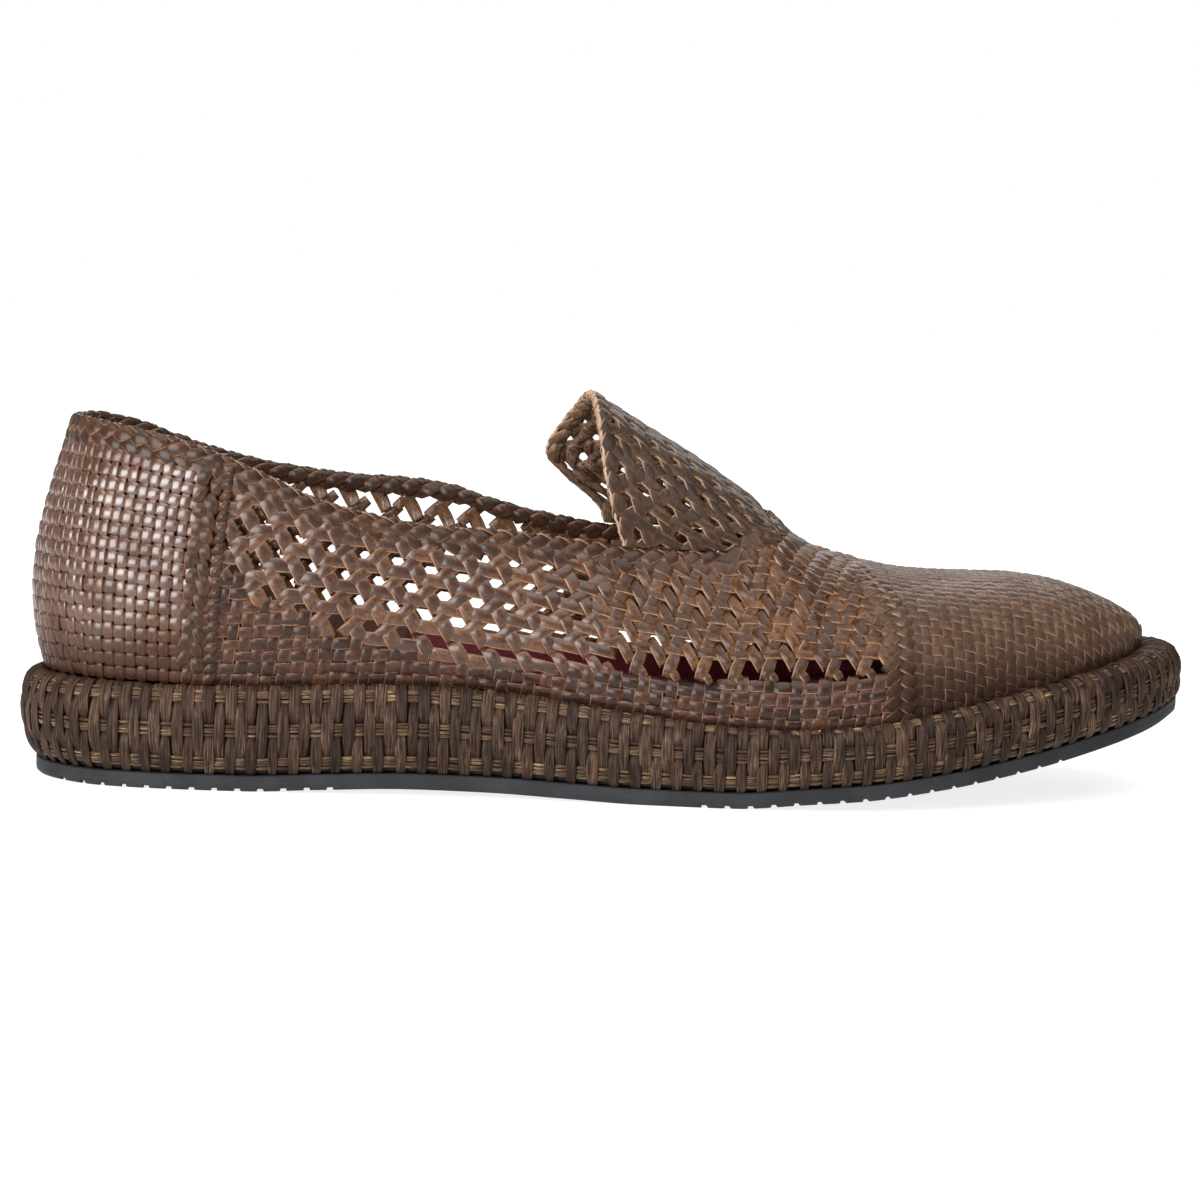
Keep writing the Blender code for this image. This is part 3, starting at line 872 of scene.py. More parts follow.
def add_studio():
    scene = bpy.context.scene
    scene.view_settings.view_transform = "Standard"
    world = bpy.data.worlds.new("studio")
    world.use_nodes = True
    tree = world.node_tree
    seen = tree.nodes.new("ShaderNodeLightPath")
    level = tree.nodes.new("ShaderNodeMapRange")
    level.inputs["To Min"].default_value = ROOM_LIGHT
    tree.links.new(seen.outputs["Is Camera Ray"], level.inputs["Value"])
    tree.links.new(level.outputs[0], tree.nodes["Background"].inputs["Strength"])
    tree.nodes["Background"].inputs["Color"].default_value = (1.0, 1.0, 1.0, 1.0)
    scene.world = world
    add_light("key", "AREA", 17.0, (0.68, 0.87, -0.25), (-0.80, -0.90, 0.31),
              shape="RECTANGLE", size=1.05, size_y=0.56)
    add_light("back", "AREA", 3.0, (-0.2, -1.0, -0.55), (0.2, 1.0, 0.6),
              shape="RECTANGLE", size=0.8, size_y=0.4)
    add_light("ceiling", "SUN", 2.8, (0.0, 0.42, -1.0), angle=math.radians(70.0))

    points = [(x, y, 0.0) for y in (-3.0, 3.0) for x in (-3.0, 3.0)]
    mesh = bpy.data.meshes.new("floor")
    mesh.from_pydata(points, [], [(0, 1, 3, 2)])
    floor = add_object("floor", mesh)
    paper = Finish("floor_paper", Specular_IOR_Level=0.1)
    speck = paper.noise(paper.place, 0.05, 2.0)
    tint = paper.mix(speck, (0.33, 0.33, 0.33, 1.0), (0.36, 0.36, 0.36, 1.0))
    paper.shader.inputs["Emission Color"].default_value = (1.0, 1.0, 1.0, 1.0)
    paper.shader.inputs["Emission Strength"].default_value = FLOOR_GLOW
    mesh.materials.append(paper.done(tint, 0.9, paper.bump(speck, 0.01)))


add_camera()
add_studio()


# ----------------------------------------
# Solid backings and edges.

LINING_LEVEL, LINING_THICK = -1.75, 0.4


def ring_solid(name, rings, finish, slot, *nodes, closed=False, smooth=True, whole_ends=False):
    """A solid skinned over rings of an even number of points: rows x ring points x 3.

    Each end is closed by one face, or by a strip of quads between the two halves of its ring.
    """
    rows, width = rings.shape[:2]
    faces = []
    for i in range(rows if closed else rows - 1):
        here, there = i * width, (i + 1) % rows * width
        for k in range(width):
            after = (k + 1) % width
            faces.append((here + k, here + after, there + after, there + k))
    if whole_ends:
        faces.append(tuple(range(width)))
        faces.append(tuple((rows - 1) * width + k for k in reversed(range(width))))
    elif not closed:
        for first in (0, (rows - 1) * width):
            last = first + width - 1
            for k in range(width // 2 - 1):
                faces.append((first + k, first + k + 1, last - k - 1, last - k))
    mesh = bpy.data.meshes.new(name)
    mesh.from_pydata((rings.reshape(-1, 3) * MM).tolist(), [], faces)
    mesh.validate()
    work = bmesh.new()
    work.from_mesh(mesh)
    bmesh.ops.recalc_face_normals(work, faces=work.faces)
    work.to_mesh(mesh)
    work.free()
    mesh.polygons.foreach_set("use_smooth", np.full(len(mesh.polygons), smooth))
    return finish_piece(name, mesh, finish, slot, *nodes)


def layer(name, place, columns, distance, out, finish, slot="upper_leather", *nodes,
          thick=LINING_THICK, closed=False):
    """A thin solid on a chart, its face at a height "out"; distance has a row for each column."""
    columns = columns[:, None] * np.ones(distance.shape)
    levels = (np.full(distance.shape, level) for level in (out, out - thick))
    outer, inner = (place(columns, distance, level) for level in levels)
    rings = np.concatenate([outer, inner[:, ::-1]], axis=1)
    return ring_solid(name, rings, finish, slot, *nodes, closed=closed)


def backing(name, sheet, columns, low, high, finish=LINING, out=LINING_LEVEL, slot="upper_leather"):
    """A lining behind the plait, from a low to a high distance up each column."""
    low, high = (np.ones((len(columns), 1)) * np.reshape(level, (-1, 1)) for level in (low, high))
    distance = low + (high - low) * np.linspace(0.0, 1.0, 14)
    return layer(name, sheet.place, columns, distance, out, finish, slot)


# ----------------------------------------
# The heel counter: a plain close weave.

FILL, HEEL_FILL = 0.96, 0.93    # share of its cell that a strip of close weave fills
HEEL_PITCH = 2.95
HEEL_ROWS = 16
RIM_BAND = 6.4          # height of the plait along the collar


def heel_seams():
    """Columns of the heel sheet where its two side seams run."""
    keep = STATIONS[STATIONS <= SEAM_STATION + PAST_SEAM]
    outer = HEEL.columns[:len(keep)][::-1]
    inner = HEEL.columns[len(keep) - 1:]
    return {side: float(np.interp(SEAM_STATION, keep, own)) for side, own in zip(SIDES, (outer, inner))}


HEEL_SEAM = heel_seams()


def add_weave(bundle, place, spot, columns, rows, present, wide, tall, reach=0.96, rings=7, **shape):
    """Plain weave: cells by turns a strip up and a strip across, "reach" cells long either way.

    spot(i, j) gives the chart place of cell coordinates, which may be fractions.  wide is the
    width of the strips that run up, and tall that of the strips across.
    """
    for turn in (0, 1):
        cells = [(i, j) for i in columns for j in rows if (i + j) % 2 == turn and present(i, j)]
        i, j = np.array(cells, float).T
        step, rise = (reach, 0.0) if turn else (0.0, reach)
        start, end = spot(i - step, j - rise), spot(i + step, j + rise)
        width = tall if turn else wide
        bundle.add_strips(place, start, end, width(i) if callable(width) else width, rings=rings, **shape)


def make_heel():
    first, last = HEEL_SEAM[LATERAL], HEEL_SEAM[MEDIAL]
    count = round((last - first) / HEEL_PITCH)
    pitch = (last - first) / count

    def spot(i, j):
        across = first + (i + 0.5) * pitch
        return beside(across, (j + 0.5) / HEEL_ROWS * (HEEL.height(across) - RIM_BAND + 1.0))

    def row_height(i):
        return (HEEL.height(first + i * pitch) - RIM_BAND) / HEEL_ROWS * FILL

    bundle = Bundle()
    add_weave(bundle, HEEL.place, spot, range(count), range(HEEL_ROWS), lambda i, j: True,
              pitch * HEEL_FILL, row_height, reach=0.82, high=0.12, low=-0.95, thick=0.8, crown=0.14,
              taper=0.30, flat=3.2, rings=9)
    bundle.make("heel_counter_plait", HEEL_LEATHER)
    columns = np.linspace(HEEL.columns[0], HEEL.columns[-1], 120)
    backing("heel_lining", HEEL, columns, 0.4, HEEL.height(columns) - 2.0)


make_heel()


# ----------------------------------------
# The close band along the sole, and the open weave of quarters and vamp.

# Height of the close band above the sole, and the pitch of the rows over it.
BAND_TOP = (
    # x, height
    (-116.0, 30.0),
    (-99.5, 28.0),
    (-95.0, 24.7),
    (-82.0, 17.4),
    (-69.0, 13.4),
    (-57.0, 10.8),
    (-44.0, 7.9),
    (-31.0, 6.8),
    (-16.0, 8.2),
    (-6.0, 9.0),
    (6.0, 10.2),
    (31.5, 12.2),
    (44.0, 13.4),
    (57.0, 13.6),
    (70.0, 12.0),
    (142.0, 11.0),
)
ROW_PITCH = (
    # x, pitch
    (-116.0, 6.2),
    (-40.0, 6.0),
    (0.0, 5.2),
    (30.0, 4.8),
    (142.0, 4.8),
)
QUARTER_START, QUARTER_END = -99.0, -5.0
JOIN = 41.0             # from here forward the rows run on over the ridge
LAST_RAMP = 11.0        # length over which the pitch changes to meet the ridge
# Where the plait on the edge stops covering the weave's end, and how much of it it covers.
RIM_FADE, RIM_COVER = (22.0, 34.0), (3.8, 2.6)
CAP_TOP, CAP_FOOT = 61.7, 70.8      # x of the toe-cap seam on the ridge and at the sole
# Toe-cap seam by its distance down from the ridge.
CAP_SEAM = (
    # distance, x
    (0.0, CAP_TOP),
    (20.0, 63.6),
    (30.0, 67.0),
    (42.0, 70.4),
    (60.0, CAP_FOOT),
)


def band_top(x):
    return read(BAND_TOP, 1, x)


def rows_to_ridge(side):
    """How many rows of holes fit between the band and the ridge at the joining point."""
    return round(float((SIDE[side].height(JOIN) - band_top(JOIN)) / read(ROW_PITCH, 1, JOIN)))


def row_pitch(side, x):
    """Spacing of the open rows: from the joining point on a whole number reaches the ridge."""
    fitted = (SIDE[side].height(np.maximum(x, JOIN)) - band_top(x)) / rows_to_ridge(side)
    share = np.clip((x - JOIN + LAST_RAMP) / LAST_RAMP, 0.0, 1.0)
    return read(ROW_PITCH, 1, x) * (1.0 - share) + fitted * share


def wall_place(side):
    """Chart of one side that runs on over the ridge in front of the throat."""
    sheet = SIDE[side]

    def place(x, distance, out):
        top = sheet.height(x)
        straight = sheet.place(x, np.minimum(distance, top + 0.3), out)
        over = over_ridge(x, (distance - top) * -side, out)
        return np.where(((x > JOIN) & (distance > top))[..., None], over, straight)

    return place


def cap_seam(across):
    return np.interp(np.abs(across), column(CAP_SEAM, 0), column(CAP_SEAM, 1))


def before_cap(side, x, distance, margin=0.0):
    """True behind the toe-cap seam."""
    return x < cap_seam(SIDE[side].height(x) - distance) + margin


def in_open_weave(side, x, distance):
    """True between the band along the sole and the plait on the collar and throat."""
    top = SIDE[side].height(x) - np.interp(x, RIM_FADE, RIM_COVER)
    return (distance > band_top(x) - 1.0) & ((distance < top) | (x >= JOIN))


BAND_CELL, BAND_ROW = 3.5, 3.2
BAND_LEAN = 0.12        # how far forward each row lies of the one below, in rows
SOCK_START = -52.0      # from here forward the band is lined in burgundy
LIFT_START, LIFT_END = -78.0, -60.0     # the quarter's holes rise clear of the band here


def make_band(side):
    columns = range(-2, int((CAP_FOOT - QUARTER_START) / BAND_CELL) + 1)

    def spot(i, j):
        x = QUARTER_START - 1.5 + i * BAND_CELL
        return beside(x + BAND_LEAN * j * BAND_ROW, (j + 0.35) * BAND_ROW)

    def present(i, j):
        x, distance = spot(i, j)
        over = 0.3 if x < LIFT_START else -0.3
        return distance < band_top(x) + over * BAND_ROW and before_cap(side, x, distance)

    bundle = Bundle()
    add_weave(bundle, SIDE[side].place, spot, columns, range(10), present, BAND_CELL * FILL,
              BAND_ROW * FILL, reach=0.88, high=0.10, thick=0.85, crown=0.18, taper=0.24,
              flat=3.2, jitter=0.08)
    bundle.make(f"lower_band_plait_{NAMES[side]}", BAND_LEATHER)
    x = np.linspace(QUARTER_START - 8.0, SOCK_START, 60)
    backing(f"lower_band_lining_{NAMES[side]}", SIDE[side], x, 0.3, band_top(x) - 1.6)
    x = np.linspace(SOCK_START, CAP_FOOT + 4.0, 90)
    short = 3.0 if side == LATERAL else 1.6
    backing(f"sock_lining_{NAMES[side]}", SIDE[side], x, 0.3, band_top(x) - short, SOCK)


def lattice(first_row, end_row, first=-8, end=16):
    """Numbers of a pattern's repeats along and up, a row at a time."""
    grids = np.meshgrid(np.arange(first, end), np.arange(first_row, end_row))
    return [grid.ravel().astype(float) for grid in grids]


# Repeat of the quarters' weave, in millimetres from the middle of a hole: level strips and
# two slanting sets, each over one crossing and under the next.  Levels are how high the
# strip's middle and its ends lie.
QUARTER_STEP, QUARTER_SHIFT = 8.6, 3.7
QUARTER_PITCH = 6.0     # row pitch that the repeat is drawn for
QUARTER_FOOT, QUARTER_LIFT = 1.6, 1.5   # height of the first row over the band, and its rise
OPEN_TOP = 9.0          # no level strips this near the inner collar: its holes are larger
QUARTER_REPEAT = (
    # from x, up, to x, up, width, middle, ends, bow
    (-4.6, 0.9, -0.9, -5.6, 3.7, 0.20, -0.95, 0.25),
    (-3.2, -2.6, 6.2, -3.6, 3.5, 0.10, -0.95, 0.00),
    (1.3, -3.0, 7.7, 2.4, 3.1, 0.15, -0.95, 0.00),
)


def make_quarter(side):
    bundle = Bundle()
    i, k = lattice(-1, 12)
    x = QUARTER_START + QUARTER_STEP * i - QUARTER_SHIFT * k
    for x0, up0, x1, up1, width, high, low, bow in QUARTER_REPEAT:
        rise = up1 - up0
        middle = x + 0.5 * (x0 + x1)
        pitch = row_pitch(side, middle)
        lift = np.clip((middle - LIFT_START) / (LIFT_END - LIFT_START), 0.0, 1.0)
        base = band_top(middle) + pitch * k + QUARTER_FOOT + QUARTER_LIFT * lift
        scale = pitch / QUARTER_PITCH
        height = base + 0.5 * (up0 + up1) * scale
        keep = (middle > QUARTER_START - 4.5) & (middle < QUARTER_END + 1.5)
        keep &= in_open_weave(side, middle, height)
        if rise > 2.0:
            keep &= (k > 0) | (middle < LIFT_END)
        if abs(rise) < 2.0 and side == MEDIAL:
            keep &= height < SIDE[side].height(middle) - OPEN_TOP
        start = beside(x + x0, base + up0 * scale)[keep]
        end = beside(x + x1, base + up1 * scale)[keep]
        bundle.add_strips(wall_place(side), start, end, width * scale[keep], high=high, low=low,
                          crown=0.15, taper=0.14, flat=2.5, bow=bow, rings=9)
    bundle.make(f"quarter_plait_{NAMES[side]}", QUARTER_LEATHER)


# Repeat of the vamp's weave, in shares of the step across and of the row pitch.
VAMP_STEP = 8.3
VAMP_LEAN = 1.323       # how far forward each row lies of the one below
VAMP_FOOT = 0.45        # height of the first row over the band, in rows
VAMP_REPEAT = (
    # from x, up, to x, up, width (mm), middle, ends, roll, first row, left out over slits
    (-0.40, 0.00, 0.40, 0.00, 2.3, 0.10, -0.95, 0.00, 1, False),
    (0.06, -0.04, -0.10, -0.98, 2.9, 0.15, -0.95, 0.00, 2, False),
    (-0.84, 0.56, -0.18, -0.86, 2.8, 0.25, -0.95, 0.30, 1, False),
    (-0.95, 0.00, -0.05, 0.00, 2.3, -0.75, -1.20, 0.00, 1, False),
    (-0.86, -0.50, -0.04, -0.50, 2.1, 0.05, -0.95, 0.00, 2, True),
)
SLIT_ROWS = {LATERAL: (2, 4, 5), MEDIAL: (1, 2, 3, 4, 5, 6)}    # rows of the vamp with open slits
SLITS_END = 48.0
RIDGE_LAP = 0.48        # how far the outer side's rows reach over the ridge, and the inner fall short
# Leaves that stand between the lowest holes, in the same shares from the vamp's first row.
VAMP_FEET = (
    # from x, up, to x, up, width (mm), middle
    (0.02, -0.95, 0.38, -1.62, 2.3, 0.05),
    (0.06, -0.04, -0.05, -1.48, 3.0, 0.40),
)


def make_vamp(side):
    place = wall_place(side)

    def spot(i, k, across, up):
        x = QUARTER_END + VAMP_STEP * (i + across) + VAMP_LEAN * (k + up)
        return beside(x, band_top(x) + row_pitch(side, x) * (k + up + VAMP_FOOT))

    bundle = Bundle()
    i, k = lattice(-1, 18)
    for x0, up0, x1, up1, width, high, low, roll, first, over_slits in VAMP_REPEAT:
        middle, height = spot(i, k, 0.5 * (x0 + x1), 0.5 * (up0 + up1)).T
        keep = (k >= first) & (middle > QUARTER_END - 2.0) & before_cap(side, middle, height, 1.0)
        if over_slits:
            keep &= ~np.isin(k, SLIT_ROWS[side]) | (middle > SLITS_END)
        keep &= in_open_weave(side, middle, height)
        keep &= (middle < JOIN) | (height < SIDE[side].height(middle) - side * RIDGE_LAP)
        start, end = spot(i, k, x0, up0)[keep], spot(i, k, x1, up1)[keep]
        bundle.add_strips(place, start, end, width, high=high, low=low, crown=0.13, roll=roll)
    i, k = i[k == 1], k[k == 1]
    for x0, up0, x1, up1, width, high in VAMP_FEET:
        start, end = spot(i, k, x0, up0), spot(i, k, x1, up1)
        keep = (end[:, 0] > QUARTER_END) & before_cap(side, *start.T, -1.0)
        bundle.add_strips(place, start[keep], end[keep], width, high=high, crown=0.16, taper=0.30,
                          rings=9, jitter=0.07)
    bundle.make(f"vamp_plait_{NAMES[side]}", VAMP_LEATHER)


# ----------------------------------------
# The toe cap: a close weave in rows down from the ridge.

CAP_STEP, CAP_ROW = 2.85, 2.9
NOSE = 139.0            # from here forward the cap's rows run on further down
CAP_WEAVE = {"high": 0.08, "thick": 0.85, "taper": 0.05, "flat": 2.4, "jitter": 0.04}


def front_line():
    """x along the middle of the toe cap, over the ridge and down the front, by distance."""
    ridge = SKIN[LATERAL][STATIONS >= THROAT_END, -1]
    line = np.concatenate([ridge, SKIN[LATERAL][-1][::-1][1:]])
    return run_along(line), line[:, 0]


CAP_RUN, CAP_X = front_line()
CAP_START = float(np.interp(CAP_TOP, CAP_X[:200], CAP_RUN[:200]))


def cap_place(run, across, out):
    return over_ridge(np.interp(run, CAP_RUN, CAP_X), across, out)


def make_cap():
    last = float(np.interp(BODY_END - 0.1, CAP_X, CAP_RUN))
    count = int((last - CAP_START) / CAP_STEP)

    def spot(i, j):
        return beside(CAP_START + 1.0 + (i + 0.5) * CAP_STEP, (j + 0.5) * CAP_ROW)

    def present(i, j):
        run, across = spot(i, j)
        x = np.interp(run, CAP_RUN, CAP_X)
        tall = SIDE[LATERAL if across < 0.0 else MEDIAL].height(x)
        over = 1.8 if x > NOSE else 0.4
        return abs(across) < tall + over and x > cap_seam(across) + 0.5

    bundle = Bundle()
    add_weave(bundle, cap_place, spot, range(count + 1), range(-24, 24), present,
              CAP_STEP * FILL, CAP_ROW * FILL, **CAP_WEAVE)
    bundle.make("toe_cap_plait", TOE_LEATHER)
    for side in SIDES:
        x = np.linspace(CAP_TOP + 1.0, BODY_END - 0.3, 120)
        low = np.where(x < CAP_FOOT, band_top(x) + 7.0, 0.3)
        backing(f"toe_lining_{NAMES[side]}", SIDE[side], x, low, SIDE[side].height(x))


TIP_CELL, TIP_ROW = 2.8, 2.6
TIP_BULGE = 0.7


def make_tip():
    """The very front of the cap, between the last sections of its two sides."""
    tall = {side: float(SIDE[side].height(BODY_END)) for side in SIDES}

    def edges(distance):
        level = distance / tall[LATERAL]
        return [SIDE[side].place(BODY_END, level * tall[side]) for side in SIDES]

    def nose(share, distance, out):
        outer, inner = edges(distance)
        forward = TIP_BULGE * (1.0 - (2.0 * share - 1.0) ** 2) + out
        return outer + (inner - outer) * share[..., None] + forward[..., None] * np.array([1.0, 0.0, 0.0])

    def width(distance):
        outer, inner = edges(distance)
        return np.linalg.norm(inner - outer, axis=-1)

    def place(across, distance, out):
        return nose(0.5 + across / np.maximum(width(distance), 2.0), distance, out)

    def spot(i, j):
        return beside((i + 0.5) * TIP_CELL, (j + 0.5) * TIP_ROW)

    def present(i, j):
        across, distance = spot(i, j)
        return abs(across) < 0.5 * width(distance) + 0.5

    bundle = Bundle()
    add_weave(bundle, place, spot, range(-3, 3), range(4), present, TIP_CELL * FILL,
              TIP_ROW * FILL, **CAP_WEAVE)
    bundle.make("toe_tip_plait", TOE_LEATHER)
    distance = np.linspace(0.2, 0.9 * tall[LATERAL], 9) * np.ones((12, 1))
    layer("toe_tip_lining", nose, np.linspace(0.02, 0.98, 12), distance, -0.8, LINING)


for hand in SIDES:
    make_band(hand)
    make_quarter(hand)
    make_vamp(hand)
make_cap()
make_tip()


# ----------------------------------------
# The plait over the collar and throat edge, and the seams.

RIM_DEPTH = 7.0         # how far the rim's chart reaches down each face
RIM_COLUMNS = 420
THROAT_TURN, TURN_LENGTH = -12.0, 12.0  # x where its chart turns square to the edge, and how fast


def rim_profile():
    """How far down and how far out the rim's chart runs: up, over the edge and down inside."""
    down = RIM_DEPTH * np.linspace(0.0, 1.0, 8)[1:]
    turn = np.linspace(0.0, math.pi, 9)
    over = beside(-0.8 * np.sin(turn), -0.5 * UPPER_WALL * (1.0 - np.cos(turn)))
    return [*beside(down, 0.0)[::-1], *over, *beside(down, -UPPER_WALL)]


def rim_sheet():
    """A chart round the edge: columns run along it from the outer end of the throat to the
    inner end, and distance runs up the outside, over the edge and down the inside."""
    points = round_heel(STATIONS <= THROAT_END)
    run = run_along(points[:, -1])
    even = np.linspace(0.0, run[-1], RIM_COLUMNS)
    lines = resample(even, run, points)
    walls = Sheet(even, lines, -1.0)
    profile = rim_profile()
    grid = np.stack([
        walls.place(even, walls.length - down, np.full(len(even), out)) for down, out in profile
    ], axis=1)

    # round the throat the chart runs square to the edge instead of along the sections
    for side, own in zip(SIDES, np.split(np.arange(len(even)), 2)):
        own = own[lines[own, -1, 0] > THROAT_TURN - 2.0]
        x = lines[own, -1, 0]
        tall = SIDE[side].height(x)
        forward = np.gradient(x)
        rise = np.gradient(tall)
        square = beside(rise, -forward) / np.hypot(forward, rise)[:, None] * np.sign(forward.sum())
        share = np.clip((x - THROAT_TURN) / TURN_LENGTH, 0.0, 1.0)[:, None]
        for k, (down, out) in enumerate(profile):
            at, height = x + down * square[:, 0], tall + down * square[:, 1]
            spot = wall_place(side)(at, height, np.full(len(own), out))
            grid[own, k] = grid[own, k] * (1.0 - share) + spot * share
    return Sheet(even - 0.5 * even[-1], grid, -1.0)


RIM = rim_sheet()
RIM_OVER = RIM_DEPTH + 1.6      # distance at the very top of the rim
INNER_NARROW = (-92.0, -24.0)   # x between which the inner collar has no lower row
RIM_CLEAR = 3.0         # the plait stops this far from the front of the throat
RIM_FLAT = 13.0         # and its two inner rows stop this far from it
LEAF_STEP = 5.0
LEAF_REACH, LEAF_WIDTH = 3.08, 3.4      # half a leaf's length, and its width
LEAF_LEAN = 1.8                         # half the height that a leaf climbs


def make_collar():
    first, last = RIM.columns[0] + RIM_CLEAR, RIM.columns[-1] - RIM_CLEAR
    count = int((last - first) / LEAF_STEP)
    step = (last - first) / count
    across = first + step * np.arange(count + 1)
    inner = slice(len(RIM.columns) // 2, None)
    low_end, low_again = np.interp(INNER_NARROW, RIM.points[inner, 50, 0], RIM.columns[inner])
    bundle = Bundle()
    # distance of the row's middle, lean, stagger, middle and end levels, where the row runs
    layers = (
        (2.2, 1, 0.0, 0.30, -0.8, first, low_end),
        (2.2, 1, 0.0, 0.30, -0.8, low_again, last),
        (5.4, -1, 0.5, 0.38, -0.8, first, last),
        (RIM_OVER, 1, 0.0, 0.20, -0.7, first + RIM_FLAT, last - RIM_FLAT),
        (2 * RIM_OVER - 5.4, -1, 0.5, 0.25, -0.8, first + RIM_FLAT, last - RIM_FLAT),
    )
    for middle, lean, stagger, high, low, go, stop in layers:
        at = across + stagger * step
        at = at[(at >= go) & (at < stop)]
        start = beside(at - LEAF_REACH, middle - lean * LEAF_LEAN)
        end = beside(at + LEAF_REACH, middle + lean * LEAF_LEAN)
        bundle.add_strips(RIM.place, start, end, LEAF_WIDTH, high=high, low=low, thick=1.0,
                          crown=0.10, taper=0.32, bow=0.25 * lean, jitter=0.07)
    bundle.make("collar_plait", COLLAR_LEATHER)
    distance = np.linspace(3.6, 2 * RIM_OVER - 3.6, 16) * np.ones((len(RIM.columns), 1))
    layer("collar_core", RIM.place, RIM.columns, distance, -0.55, LINING)


SEAM_SLANT = 2.6        # how far back the foot of the side seam lies from its top
SEAM_STEP, CORD_STEP = 4.0, 2.9     # spacing of its leaves, and of the turns of its cord


def make_side_seam(side):
    """A column of overlapping leaves with a twisted cord in front of it."""
    edge = HEEL_SEAM[side]
    tall = float(HEEL.height(edge))
    bundle = Bundle()
    count = int((tall - 6.0) / SEAM_STEP)
    height = 0.5 + (np.arange(count) + 0.5) * (tall - 5.0) / count
    for row, lean in ((0.4, 1), (3.2, -1)):
        middle = edge + side * (row + rng.normal(0.0, 0.35, count) - SEAM_SLANT * (1.0 - height / tall))
        lift = height + (0.0 if lean > 0 else 2.0) + rng.normal(0.0, 0.3, count)
        reach = rng.uniform(2.5, 3.3, count)
        tilt = side * lean * rng.uniform(0.5, 1.5, count)
        start = beside(middle - tilt, lift - reach)
        end = beside(middle + tilt, np.minimum(lift + reach, tall - 2.0))
        bundle.add_strips(HEEL.place, start, end, rng.uniform(2.7, 3.6, count), high=0.6, low=-0.7,
                          thick=1.0, crown=0.2, taper=0.45, jitter=0.06)
    # the cord: slanting turns that lie one on the next
    turns = int(tall / CORD_STEP)
    rise = (np.arange(turns) + 0.5) * (tall - 4.0) / turns
    slant = SEAM_SLANT * (1.0 - rise / tall)
    start = beside(edge + side * (5.4 - slant), rise - 1.9)
    end = beside(edge + side * (8.2 - slant), rise + 1.9)
    bundle.add_strips(HEEL.place, start, end, 2.6, high=0.85, low=-0.6, thick=1.2, crown=0.4, taper=0.4)
    bundle.make(f"side_seam_{NAMES[side]}", COLLAR_LEATHER)
    across = np.linspace(edge - side * 3.0, edge + side * 9.0, 12)
    backing(f"side_seam_lining_{NAMES[side]}", HEEL, across, 0.4, tall - 2.0)


CAP_PLAIT_STEP = 3.4
CAP_PLAIT_X = 64.0      # section of the upper that the plait's length is taken from


def make_cap_seam(side):
    """The double plait that joins the vamp to the toe cap, wider low down."""
    across = np.arange(2.0, float(SIDE[side].height(CAP_PLAIT_X)) + 3.0, CAP_PLAIT_STEP)
    x = cap_seam(across)
    low_part = np.clip((across - 16.0) / 12.0, 0.0, 1.0)
    size = 0.7 + 0.5 * low_part
    bundle = Bundle()
    for lean, stagger in ((-1, 0.0), (1, 0.5)):
        middle = x + 1.5 * lean * size
        height = SIDE[side].height(x) - across + stagger * CAP_PLAIT_STEP
        start, end = (beside(middle + way * 1.9 * size, height - way * lean * 1.7) for way in (-1, 1))
        bundle.add_strips(wall_place(side), start, end, 2.5 + 0.9 * low_part,
                          high=0.35 + 0.5 * low_part, low=-0.8, thick=1.0, crown=0.25, taper=0.35)
    bundle.make(f"toe_seam_{NAMES[side]}", TOE_LEATHER)


# ----------------------------------------
# The tongue: rows of straps round the arch.

TONGUE_TUCK = 3.5       # how far it runs on under the throat line
TONGUE_POINTS = 60


def tongue_sheet():
    station = np.linspace(THROAT_START, THROAT_END, 200)
    throat_x, throat_angle = (read(THROAT, i, station) for i in (1, 2))
    lines = []
    for angle in np.linspace(1.0, 179.0, 181):
        side = LATERAL if angle <= 90.0 else MEDIAL
        own = min(angle, 180.0 - angle)
        start = np.interp(own, throat_angle, throat_x) + TONGUE_TUCK
        x = np.linspace(start, float(read(EDGE[side], 1, own)), TONGUE_POINTS)
        lines.append(arch(side, x, own))
    points = np.stack(lines)
    run = run_along(points[:, TONGUE_POINTS // 2])
    return Sheet(run - run[90], points, 1.0)


TONGUE = tongue_sheet()
TONGUE_STEP, TONGUE_ROW = 6.4, 5.9
INSIDE_WIDER = 0.24     # how much wider its strips are on the inner half
ROOT = 13.0             # how far a lining backs its root
# Repeat of the tongue's weave, in millimetres: round the arch, and forward from its free edge.
TONGUE_REPEAT = (
    # from across, on, to across, on, width, middle, roll
    (-3.6, 0.5, 0.4, -6.4, 3.3, 0.20, 0.20),
    (-2.2, -2.95, 5.4, -2.95, 3.2, 0.10, 0.00),
    (1.4, -3.3, 5.0, 3.3, 3.0, 0.15, 0.10),
)
# Leaves along its free edge, outside and inside.
EDGE_LEAVES = (
    # from on, to on, width, middle, ends, thick, crown
    (0.7, 3.6, 3.5, 0.55, -0.6, 1.0, 0.12),
    (3.4, 0.8, 3.3, -1.3, -0.3, 0.8, 0.0),
)
EDGE_STEP, EDGE_REACH = 4.1, 2.9    # spacing of those leaves, and half their length


def tongue_place(across, distance, out):
    """Chart of the tongue by the distance from its free edge."""
    return TONGUE.place(across, TONGUE.height(across) - distance, out)


